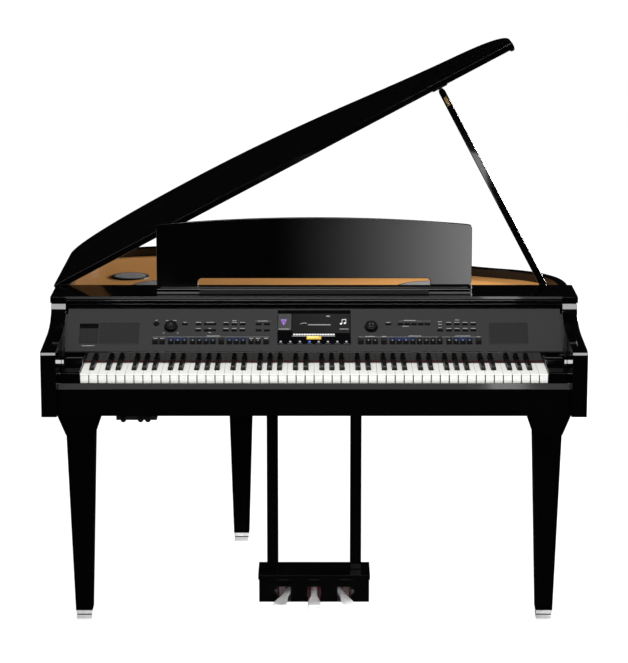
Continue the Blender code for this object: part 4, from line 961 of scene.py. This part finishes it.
def lit(name, colour):
    """A colour of the lit picture, uneven as a backlight is."""
    material, tree, shader = plain_finish(name, toned(colour, 0.2), 0.3, 0.2)
    backlight = between(tree, stretched_noise(tree, grey(30), 2), 0.25, 0.75)
    glow = blended(tree, backlight, toned(colour, 0.8), colour)
    feed(tree, shader, {"Emission Color": glow, "Emission Strength": 1.0})
    return material


def picture(name, colour, *patches, layer=2):
    """Flat patches of one colour, each two corners or an outline on the screen."""
    bm = bmesh.new()
    for patch in patches:
        if len(patch) == 2:
            (x0, y0), (x1, y1) = patch
            patch = [(x0, y0), (x1, y0), (x1, y1), (x0, y1)]
        prism(bm, patch, SCREEN - 0.0002, SCREEN + LAYER * layer)
    on_panel("screen_" + name, bm, colour, 0.0)


tile_grey = lit("screen_tile_grey", grey(0.055))
# The picture's ground glows darker at the lower left and paler towards the upper right: a painted sheen that
# stands for the glass's reflection, not part of the picture.
sheened_ground, tree, shader = plain_finish("screen_ground_painted_sheen", grey(0.004), 0.3, 0.1)
axes = added(tree, "SeparateXYZ", {0: place_in(tree)}).outputs
aslant = maths(tree, "ADD", axes["X"], maths(tree, "MULTIPLY", axes["Z"], 1.6))
SHEEN_FROM, SHEEN_TO = 1.270, 1.470
painted_sheen_mask = between(tree, aslant, SHEEN_FROM, SHEEN_TO)
glow = blended(tree, painted_sheen_mask, grey(0.003), grey(0.012))
feed(tree, shader, {"Emission Color": glow, "Emission Strength": 1.0})
soft_white = lit("screen_soft_white", grey(0.42))
bright_white = lit("screen_bright_white", grey(0.85))
violet = lit("screen_violet", (0.22, 0.10, 0.42))
amber = lit("screen_amber", (0.80, 0.50, 0.06))
pale_amber = lit("screen_pale_amber", (0.95, 0.85, 0.30))
blue = lit("screen_blue", (0.06, 0.12, 0.50))
# The ground carries the painted sheen.
picture("ground", sheened_ground, ((-0.0590, -0.0100), (0.0960, 0.0570)), layer=1)
picture("tile", tile_grey, ((-0.0968, 0.0000), (-0.0612, 0.0570)), layer=1)
lamp_shade = [(-0.0905, 0.0385), (-0.0735, 0.0385), (-0.0760, 0.0260), (-0.0820, 0.0160), (-0.0880, 0.0260)]
picture("violet_emblem", violet, lamp_shade)
glints = ((-0.0828, 0.0200), (-0.0808, 0.0265)), ((-0.0890, 0.0345), (-0.0750, 0.0360))
picture("emblem_glint", soft_white, *glints, layer=3)


def words(first, last, row, height=0.0030):
    """Patches that stand for a line of words."""
    patches = []
    x, i = first, 0
    while x < last:
        width = (0.0022, 0.0014, 0.0030, 0.0018)[i % 4]
        head = row + height / 2 * (1 if i % 2 else 0.4)
        patches.append(((x, row - height / 2), (min(x + width, last), head)))
        x += width + 0.0007
        i += 1
    return patches


picture("captions", soft_white, *words(-0.0955, -0.0670, 0.0042), *words(0.0685, 0.0925, 0.0042),
        *words(-0.0165, 0.0445, 0.0190, 0.0042), *words(0.0330, 0.0425, 0.0490, 0.0050))
swoosh = [(-0.0400, 0.0205), (-0.0330, 0.0245), (-0.0240, 0.0262), (-0.0195, 0.0235), (-0.0195, 0.0222),
          (-0.0240, 0.0246), (-0.0330, 0.0228)]
picture("swoosh", soft_white, swoosh)
quaver = (
    ((0.0745, 0.0225), (0.0757, 0.0370)), ((0.0848, 0.0245), (0.0860, 0.0390)),
    [(0.0745, 0.0348), (0.0860, 0.0368), (0.0860, 0.0390), (0.0745, 0.0370)],
    arc((0.0722, 0.0222), 0.0030, 0, 330, 10), arc((0.0826, 0.0242), 0.0030, 0, 330, 10),
)
picture("note", bright_white, *quaver)
strip_keys = [((-0.0560 + 0.0070 * i, -0.0176), (-0.0500 + 0.0070 * i, -0.0128)) for i in range(16)]
picture("key_strip", bright_white, *strip_keys)
picture("slot_line", soft_white, ((-0.0593, -0.0215), (0.0560, -0.0200)))
picture("amber_bar", amber, ((-0.0199, -0.0318), (0.0188, -0.0200)), layer=3)
picture("amber_glow", pale_amber, ((-0.0185, -0.0262), (0.0120, -0.0212)), layer=4)
icons, BLUE_ICON = (-0.0895, -0.0639, -0.0381, 0.0122, 0.0370, 0.0623, 0.0865), -0.0122
bodies = [((x - 0.0028, -0.0420), (x + 0.0028, -0.0385)) for x in icons]
heads = [((x - 0.0012, -0.0385), (x + 0.0012, -0.0368)) for x in icons]
picture("icons", soft_white, *bodies, *heads)
names = [((x - 0.0070, -0.0478), (x + 0.0070, -0.0456)) for x in (*icons, BLUE_ICON)]
picture("icon_names", tile_grey, *names)
picture("blue_icon", blue, arc((BLUE_ICON, -0.0398), 0.0036, 0, 340, 14))

# Lid: one flat board, lacquered on both faces, on a long brass hinge along the bass side. A cup under it
# takes the tip of the prop stay, and two rubber bumpers keep it off the rim when it is shut.
TOP_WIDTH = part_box("top_board")[1].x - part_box("top_board")[0].x
LID_AXIS_Z = 0.9145
LID_FRONT = 0.482
LID_THICK = 0.0175
LID_ANGLE = math.radians(28.06)
LID_OVERHANG = TOP_WIDTH / 2 - CASE_HALF
in_lid = in_case @ Matrix.Translation((-TOP_WIDTH / 2, 0, LID_AXIS_Z)) @ Matrix.Rotation(-LID_ANGLE, 4, "Y")
lid_curve = [(x + TOP_WIDTH / 2, d) for x, d in plan_curve(-LID_OVERHANG)]
lid_outline = [(lid_curve[0][0], LID_FRONT), *lid_curve, (lid_curve[-1][0], LID_FRONT)]
lid_board = prism(bmesh.new(), lid_outline, 0, LID_THICK)
make("lid_board", lid_board, lacquer, "lid", ("lid",), place=in_lid, round_by=0.0024)

rubber = grained_finish("bumper_rubber", grey(0.012), grey(0.020), 0.7, 1200, 0.00004, 0.3)
BUMPER_RADIUS = 0.0075
bumper_profile = [
    (0, 0.001), (BUMPER_RADIUS, 0.001), (BUMPER_RADIUS, -0.0050), (0.8 * BUMPER_RADIUS, -0.0078),
    (0.4 * BUMPER_RADIUS, -0.0088), (0, -0.0090),
]
bumpers = bmesh.new()
for x, d in ((1.4215, 0.5200), (0.9254, 1.0309)):
    turned(bumpers, bumper_profile, 24, at((x, d, 0)))
make("lid_bumpers", bumpers, rubber, "lid", place=in_lid)

satin_brass = grained_finish(
    "satin_brass", (0.58, 0.40, 0.15), (0.66, 0.47, 0.20), 0.26, 1500, 0.00002, metallic=1.0,
)
(_, HINGE_FROM, _), (_, HINGE_TO, _) = cased("lid_hinge")
HINGE_RADIUS, KNUCKLES, LEAF_SCREWS = 0.0035, 17, 9
knuckle_pitch = (HINGE_TO - HINGE_FROM) / KNUCKLES
knuckle = [
    (0, knuckle_pitch - 0.0004), (HINGE_RADIUS - 0.0003, knuckle_pitch - 0.0004),
    (HINGE_RADIUS, knuckle_pitch - 0.0008), (HINGE_RADIUS, 0.0008), (HINGE_RADIUS - 0.0003, 0.0004),
    (0, 0.0004),
]
on_axis = Matrix.Translation((-TOP_WIDTH / 2, 0, LID_AXIS_Z))
fixed_knuckles, lid_knuckles = bmesh.new(), bmesh.new()
for i in range(KNUCKLES):
    here = at((0, HINGE_FROM + i * knuckle_pitch, 0), -1)
    if i % 2:
        turned(lid_knuckles, knuckle, 20, here)
    else:
        turned(fixed_knuckles, knuckle, 20, on_axis @ here)
leaf_out, leaf_in = -CASE_HALF - 0.0018, -CASE_HALF - 0.0004
brick(fixed_knuckles, (leaf_out, HINGE_FROM, 0.8940), (leaf_in, HINGE_TO, 0.9125))
for i in range(LEAF_SCREWS):
    d = HINGE_FROM + 0.020 + i * (HINGE_TO - HINGE_FROM - 0.040) / (LEAF_SCREWS - 1)
    screw_head(fixed_knuckles, at((leaf_out, d, 0.9010), -1, "Y"), 0.0024)
make("hinge_case_leaf", fixed_knuckles, satin_brass, "case", ("lid_hinge",))
brick(lid_knuckles, (-0.0007, HINGE_FROM, 0.0010), (0.0004, HINGE_TO, 0.0150))
make("hinge_lid_leaf", lid_knuckles, satin_brass, "lid", place=in_lid)

# Prop stay: a lacquered hardwood bar that turns on a steel pin beside the treble rim. Its tip stands in a
# black steel cup on the lid, and a small brass catch near the tip locks it there.
UPRIGHT = Matrix(((1, 0, 0, 0), (0, 0, 1, 0), (0, 1, 0, 0), (0, 0, 0, 1)))
STAY_FOOT = (0.6503, 0.902)
STAY_FOOT_HALF, STAY_TIP_HALF = 0.0098, 0.0090
CUP_DEEP = 0.003
(_, stay_near, _), (_, stay_far, _) = cased("prop_stay")
in_stay = in_case @ Matrix.Translation((STAY_FOOT[0], 0, STAY_FOOT[1])) @ Matrix.Rotation(-LID_ANGLE, 4, "Y")
from_axis = Vector((STAY_FOOT[0] + TOP_WIDTH / 2, STAY_FOOT[1] - LID_AXIS_Z))
stay_length = from_axis.x * math.sin(LID_ANGLE) - from_axis.y * math.cos(LID_ANGLE) - CUP_DEEP - 0.0008
meets_lid_at = from_axis.x * math.cos(LID_ANGLE) + from_axis.y * math.sin(LID_ANGLE)
stay_outline = [
    *arc((0, 0), STAY_FOOT_HALF, 180, 360, 20), (STAY_TIP_HALF, stay_length - 0.010),
    *arc((0, stay_length - 0.008), STAY_TIP_HALF - 0.001, 10, 170, 12), (-STAY_TIP_HALF, stay_length - 0.010),
]
stay = prism(bmesh.new(), stay_outline, stay_near, stay_far, UPRIGHT)
make("prop_stay_bar", stay, lacquer, "prop_stay", ("prop_stay",), place=in_stay,
     round_by=BOARD_ROUND)
CATCH_HALF, CATCH_FOOT, CATCH_HEAD = 0.0045, stay_length - 0.052, stay_length - 0.026
face = stay_near - 0.0018
catch = brick(bmesh.new(), (-CATCH_HALF, face, CATCH_FOOT), (CATCH_HALF, stay_near + 0.0004, CATCH_HEAD))
screw_head(catch, at((0, face, CATCH_FOOT + 0.005), 1), 0.0022)
make("stay_catch", catch, satin_brass, "prop_stay", (), in_stay, 0.0006, 2)
CUP_HALF, CUP_FRONT, CUP_BACK = 0.022, 0.4840, 0.5120
cup_low = (meets_lid_at - CUP_HALF, CUP_FRONT, -CUP_DEEP)
cup = brick(bmesh.new(), cup_low, (meets_lid_at + CUP_HALF, CUP_BACK, 0.0008))
for x in (meets_lid_at - 0.0165, meets_lid_at + 0.0165):
    screw_head(cup, at((x, (CUP_FRONT + CUP_BACK) / 2, -CUP_DEEP), 2), 0.0026)
make("stay_cup", cup, black_steel, "lid", place=in_lid, round_by=0.0008, segments=2)

brushed, _, leave = group_of("brushed_streaks", {}, ("Height", "Roughness Rise"))
streaks = stretched_noise(brushed, (60, 2400, 2400), 3)
rise = maths(brushed, "MULTIPLY", between(brushed, streaks, 0.3, 0.8), 0.08)
feed(brushed, leave, {"Height": streaks, "Roughness Rise": rise})


def polished_metal(name, colour, duller, roughness, metallic=1.0):
    """Plated metal: polishing streaks, and a faint duller bloom in patches."""
    material, tree, shader = plain_finish(name, colour, roughness, metallic=metallic)
    streak = placed(tree, brushed)
    marks = placed(tree, handled, Dust=0.2, Hairlines=0.5)
    bloom = between(tree, stretched_noise(tree, grey(70), 3), 0.40, 0.75)
    rise = maths(tree, "ADD", streak["Roughness Rise"], marks["Roughness Rise"])
    feed(tree, shader, {
        "Base Color": blended(tree, bloom, colour, duller), "Roughness": maths(tree, "ADD", rise, roughness),
    })
    relief(tree, shader, streak["Height"], 0.000006)
    return material


chrome = polished_metal("bright_chrome", (0.86, 0.86, 0.87), (0.74, 0.74, 0.76), 0.07)
satin_plate = polished_metal("satin_nickel", grey(0.93), (0.84, 0.84, 0.85), 0.24, 0.25)
carried(chrome, 0.0006, "stay_bracket")
bracket_screws = bmesh.new()
for x in (STAY_FOOT[0] - 0.018, STAY_FOOT[0] + 0.018):
    screw_head(bracket_screws, at((x, 0.4945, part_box("stay_bracket")[0].z + 0.0021)), 0.0030)
make("bracket_screws", bracket_screws, black_steel, "case")

# Music rest: a thin lacquered panel with an arched top and a long relief under it, leaning on two bent wires.
# Its ledge is a separate bar on the top board, with a ribbed rubber strip that stops sheets from sliding.
REST_HALF = 0.4305
REST_PIVOT = (0, 0.3862, 0.949)
REST_LEAN = math.radians(2.5)
REST_FACE, REST_THICK = -0.0005, 0.012
REST_FOOT, REST_END_TOP, REST_CREST = -0.0125, 0.166, 0.1855
RELIEF_HALF, RELIEF_TOP, RELIEF_ROUND = 0.317, 0.0185, 0.010
CORNER_ROUND = 0.010
in_rest = in_case @ Matrix.Translation(REST_PIVOT) @ Matrix.Rotation(-REST_LEAN, 4, "X")
CREST_STEPS = 40
crest = []
for i in range(1, CREST_STEPS):
    across = 1 - 2 * i / CREST_STEPS
    crest.append((REST_HALF * across, REST_END_TOP + (REST_CREST - REST_END_TOP) * (1 - across * across)))
corner_z = REST_END_TOP - CORNER_ROUND + 0.0004
rest_outline = [
    (-REST_HALF, REST_FOOT), (-RELIEF_HALF, REST_FOOT),
    *arc((-RELIEF_HALF + RELIEF_ROUND, RELIEF_TOP - RELIEF_ROUND), RELIEF_ROUND, 180, 90, 8),
    *arc((RELIEF_HALF - RELIEF_ROUND, RELIEF_TOP - RELIEF_ROUND), RELIEF_ROUND, 90, 0, 8),
    (RELIEF_HALF, REST_FOOT), (REST_HALF, REST_FOOT),
    *arc((REST_HALF - CORNER_ROUND, corner_z), CORNER_ROUND, 0, 84, 8), *crest,
    *arc((-REST_HALF + CORNER_ROUND, corner_z), CORNER_ROUND, 96, 180, 8),
]
rest = prism(bmesh.new(), rest_outline, REST_FACE, REST_FACE + REST_THICK, UPRIGHT)
make("music_rest_panel", rest, lacquer, "music_rest", ("music_rest",), place=in_rest,
     round_by=0.0016)
STRUT_X, STRUT_PIVOT = 0.385, (0.4058, 1.015)
lug_ring = [(0.0036, 0.006), (0.0058, 0.006), (0.0058, 0), (0.0036, 0), (0.0036, 0.006)]
lugs = bmesh.new()
for x in (0.004 - STRUT_X, STRUT_X - 0.004):
    brick(lugs, (x - 0.003, 0.3968, STRUT_PIVOT[1] - 0.009), (x + 0.003, 0.4005, STRUT_PIVOT[1] + 0.009))
    turned(lugs, lug_ring, 24, at((x - 0.003, *STRUT_PIVOT), 1, "Y"))
make("strut_lugs", lugs, black_steel, "music_rest", round_by=0.0004, segments=2)
carried(chrome, 0.0, "left_rest_strut", "right_rest_strut")
carried(lacquer, 0.0016, "music_ledge")
(_, ledge_front, _), (_, _, ledge_top) = cased("music_ledge")
grip = bmesh.new()
for i in range(5):
    d = ledge_front + 0.010 + i * 0.0042
    brick(grip, (-0.418, d, ledge_top - 0.0004), (0.418, d + 0.0022, ledge_top + 0.0007))
make("ledge_grip", grip, rubber, "case", round_by=0.0003, segments=2)
grey_trim = grained_finish(
    "grey_end_trim", (0.085, 0.085, 0.088), (0.115, 0.115, 0.118), 0.50, 1400, 0.00002, 0.05,
)
trims = bmesh.new()
for left, right in ((-0.4268, -0.3120), (0.3120, 0.4268)):
    brick(trims, (left, ledge_front - 0.0006, 0.9336), (right, ledge_front + 0.001, 0.9392))
make("ledge_end_trims", trims, grey_trim, "case", round_by=0.0005, segments=2)
ledge_face = bmesh.new()
for foot, head in ((0.9332, 0.9366), (0.9374, 0.9412), (0.9420, 0.9452)):
    brick(ledge_face, (-0.3116, ledge_front - 0.0005, foot), (0.3116, ledge_front + 0.001, head))
make("ledge_face", ledge_face, charcoal, "case", round_by=0.0004, segments=2)

# Legs: square tapered hardwood posts under black lacquer, each with a flared capital bolted to the keybed or
# bottom board and standing on a chromed ferrule with a dark groove.
LEGS = ("left_front_leg", "right_front_leg", "rear_leg")
BAND_HALF, BAND_FOOT, BAND_HEAD = 0.0209, 0.0127, 0.0158
carried(lacquer, BOARD_ROUND, *LEGS, segments=3)
carried(satin_plate, 0.0006, *[leg.replace("leg", "ferrule") for leg in LEGS])
groove = bmesh.new()
for leg in LEGS:
    (left, front, _), (right, back, _) = cased(leg)
    x, d = (left + right) / 2, (front + back) / 2
    brick(groove, (x - BAND_HALF, d - BAND_HALF, BAND_FOOT), (x + BAND_HALF, d + BAND_HALF, BAND_HEAD))
make("ferrule_bands", groove, rubber, "case", round_by=0.0004, segments=2)

# Lyre: two square posts under a mounting plate carry the pedal box, whose cap overhangs it. Its three slots
# are lined with dark-red felt.
carried(lacquer, 0.0016, "lyre_posts", "pedal_box")
dark_red_felt = felt_finish("dark_red_felt", (0.045, 0.004, 0.007), (0.070, 0.008, 0.012))
PEDAL_PIVOT = (0.520, 0.0455)
PEDALS = (("left_pedal", -0.0655, -11), ("middle_pedal", 0.0, 0), ("right_pedal", 0.0655, 11))
SLOT_HALF, SLOT_FOOT, SLOT_HEAD, SLOT_MOUTH, SLOT_BACK = 0.018, -0.0120, 0.031, -0.0860, 0.012
FELT_THICK, FELT_GAP = 0.0014, 0.0002
BOX_HALF, BOX_FRONT, BOX_BACK, BOX_BOTTOM = 0.155, 0.4235, 0.5465, 0.0325
PLATE_FOOT, PLATE_HEAD = BOX_BOTTOM - 0.0014, BOX_BOTTOM - 0.0003
plate_low, plate_high = (-BOX_HALF + 0.003, BOX_FRONT + 0.004), (BOX_HALF - 0.003, BOX_BACK - 0.003)
base = brick(bmesh.new(), (*plate_low, PLATE_FOOT), (*plate_high, PLATE_HEAD))
for x in (-0.140, 0.140):
    for d in (0.440, 0.530):
        screw_head(base, at((x, d, PLATE_FOOT), 2), 0.0030)
make("pedal_box_base", base, black_steel, "case", round_by=0.0003, segments=1)
in_slot = {
    name: in_case @ Matrix.Translation((x, *PEDAL_PIVOT)) @ Matrix.Rotation(math.radians(yaw), 4, "Z")
    for name, x, yaw in PEDALS
}
side, back, head = SLOT_HALF - 0.0001, SLOT_BACK - FELT_GAP, SLOT_HEAD - FELT_GAP
for name, place in in_slot.items():
    lining = bmesh.new()
    brick(lining, (-side, SLOT_MOUTH, SLOT_FOOT), (FELT_THICK - SLOT_HALF, back, head))
    brick(lining, (SLOT_HALF - FELT_THICK, SLOT_MOUTH, SLOT_FOOT), (side, back, head))
    brick(lining, (-side, SLOT_MOUTH, SLOT_HEAD - FELT_THICK), (side, back, head))
    brick(lining, (-side, SLOT_BACK - FELT_THICK, SLOT_FOOT), (side, back, head))
    make(name + "_felt", lining, dark_red_felt, "case", place=place)

# Pedals: cast brass shoes with a chromed face, broad and rounded at the toe, on a narrower arm that turns on
# a pin at the back of the slot.
PEDAL_STATIONS = (
    (0.0075, 0.0076, 0.0036, 0.0000), (0.0060, 0.0084, 0.0046, 0.0000), (-0.0300, 0.0085, 0.0048, 0.0000),
    (-0.0800, 0.0086, 0.0048, 0.0000), (-0.0960, 0.0098, 0.0047, 0.0001),
    (-0.1120, 0.0127, 0.0046, 0.0002), (-0.1280, 0.0154, 0.0046, 0.0002),
    (-0.1440, 0.0172, 0.0045, 0.0001), (-0.1580, 0.0177, 0.0045, -0.0003),
    (-0.1670, 0.0172, 0.0045, -0.0009), (-0.1718, 0.0156, 0.0042, -0.0014),
    (-0.1742, 0.0125, 0.0035, -0.0018), (-0.1750, 0.0080, 0.0022, -0.0021),
)
SECTION_STEPS = 20


def pedal_shoe(bm):
    """Flat oval sections from the pin forward to the toe."""
    rings = []
    for y, half, thick, lift in PEDAL_STATIONS:
        ring = []
        for i in range(SECTION_STEPS):
            angle = 2 * math.pi * (i + 0.5) / SECTION_STEPS
            c, s = math.cos(angle), math.sin(angle)
            x, z = half * math.copysign(abs(c) ** 0.45, c), thick * math.copysign(abs(s) ** 0.55, s)
            ring.append(bm.verts.new((x, y, lift + z)))
        rings.append(ring)
    return skin(bm, rings, capped=True)


PIN_RADIUS, PIN_LONG = 0.0018, 0.0356
pins = bmesh.new()
for name, x, _ in PEDALS:
    shoe = pedal_shoe(bmesh.new())
    pedal = make(name + "_shoe", shoe, satin_plate, name, (name,), place=in_slot[name])
    smooth = pedal.modifiers.new("smooth casting", "SUBSURF")
    smooth.levels = smooth.render_levels = 1
    pin = [(0, PIN_LONG), (PIN_RADIUS, PIN_LONG), (PIN_RADIUS, 0), (0, 0)]
    turned(pins, pin, 16, at((x - PIN_LONG / 2, *PEDAL_PIVOT), 1, "Y"))
make("pedal_pins", pins, black_steel, "case")

# Socket box: a small black steel box screwed under the bass end of the keybed, with a level knob and two
# phone sockets in its front.
carried(satin_paint, 0.0008, "jack_box")
JACK_FACE, JACK_LEVEL = 0.0496, 0.6528
socket_rings = bmesh.new()
nut = [
    (0.0034, -0.0040), (0.0034, 0.0009), (0.0046, 0.0012), (0.0066, 0.0008), (0.0068, -0.0002),
    (0.0034, -0.0040),
]
for x in (-0.4562, -0.4371):
    turned(socket_rings, nut, 32, at((x, JACK_FACE, JACK_LEVEL), 1))
make("socket_nuts", socket_rings, knob_black, "case")
knob_profile = [
    (0, 0.0060), (0.0044, 0.0060), (0.0052, 0.0052), (0.0060, 0.0004), (0.0060, -0.0004), (0, -0.0004),
]
knob = turned(bmesh.new(), knob_profile, 32, at((-0.5016, JACK_FACE, JACK_LEVEL), 1))
make("level_knob", knob, knob_black, "case")

# Main circuit board: green glass-fibre with a transformer, an aluminium heat sink and rows of capacitors,
# standing on the keybed behind the keys.
solder_mask = grained_finish(
    "green_solder_mask", (0.012, 0.085, 0.035), (0.020, 0.120, 0.050), 0.35, 900, 0.00002,
)
carried(solder_mask, 0.0006, "main_board")
can_metal = polished_metal("capacitor_can", (0.62, 0.62, 0.64), (0.50, 0.50, 0.53), 0.22)
SINK_FINS, FIN_PITCH, FIN_THICK = 14, 0.0108, 0.0030
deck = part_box("main_board")[0].z + 0.0054
can = [(0, 0.0225), (0.0062, 0.0225), (0.0070, 0.0215), (0.0070, 0.0030), (0.0064, 0.0022), (0.0070, 0.0014),
       (0.0070, 0), (0, 0)]
parts = bmesh.new()
for x in (0.203, 0.226, 0.249):
    for d in (0.345, 0.372, 0.399):
        turned(parts, can, 24, at((x, d, deck)))
for i in range(SINK_FINS):
    left = -0.108 + FIN_PITCH * i
    brick(parts, (left, 0.3285, deck + 0.004), (left + FIN_THICK, 0.3515, deck + 0.0385))
make("board_parts", parts, can_metal, "case", round_by=0.0002, segments=1)
windings = brick(bmesh.new(), (-0.2365, 0.3480, deck + 0.012), (-0.1535, 0.4020, deck + 0.046))
copper = grained_finish(
    "varnished_copper", (0.32, 0.10, 0.035), (0.45, 0.16, 0.06), 0.35, 800, 0.0002, metallic=0.7,
)
make("transformer_winding", windings, copper, "case", round_by=0.0040)
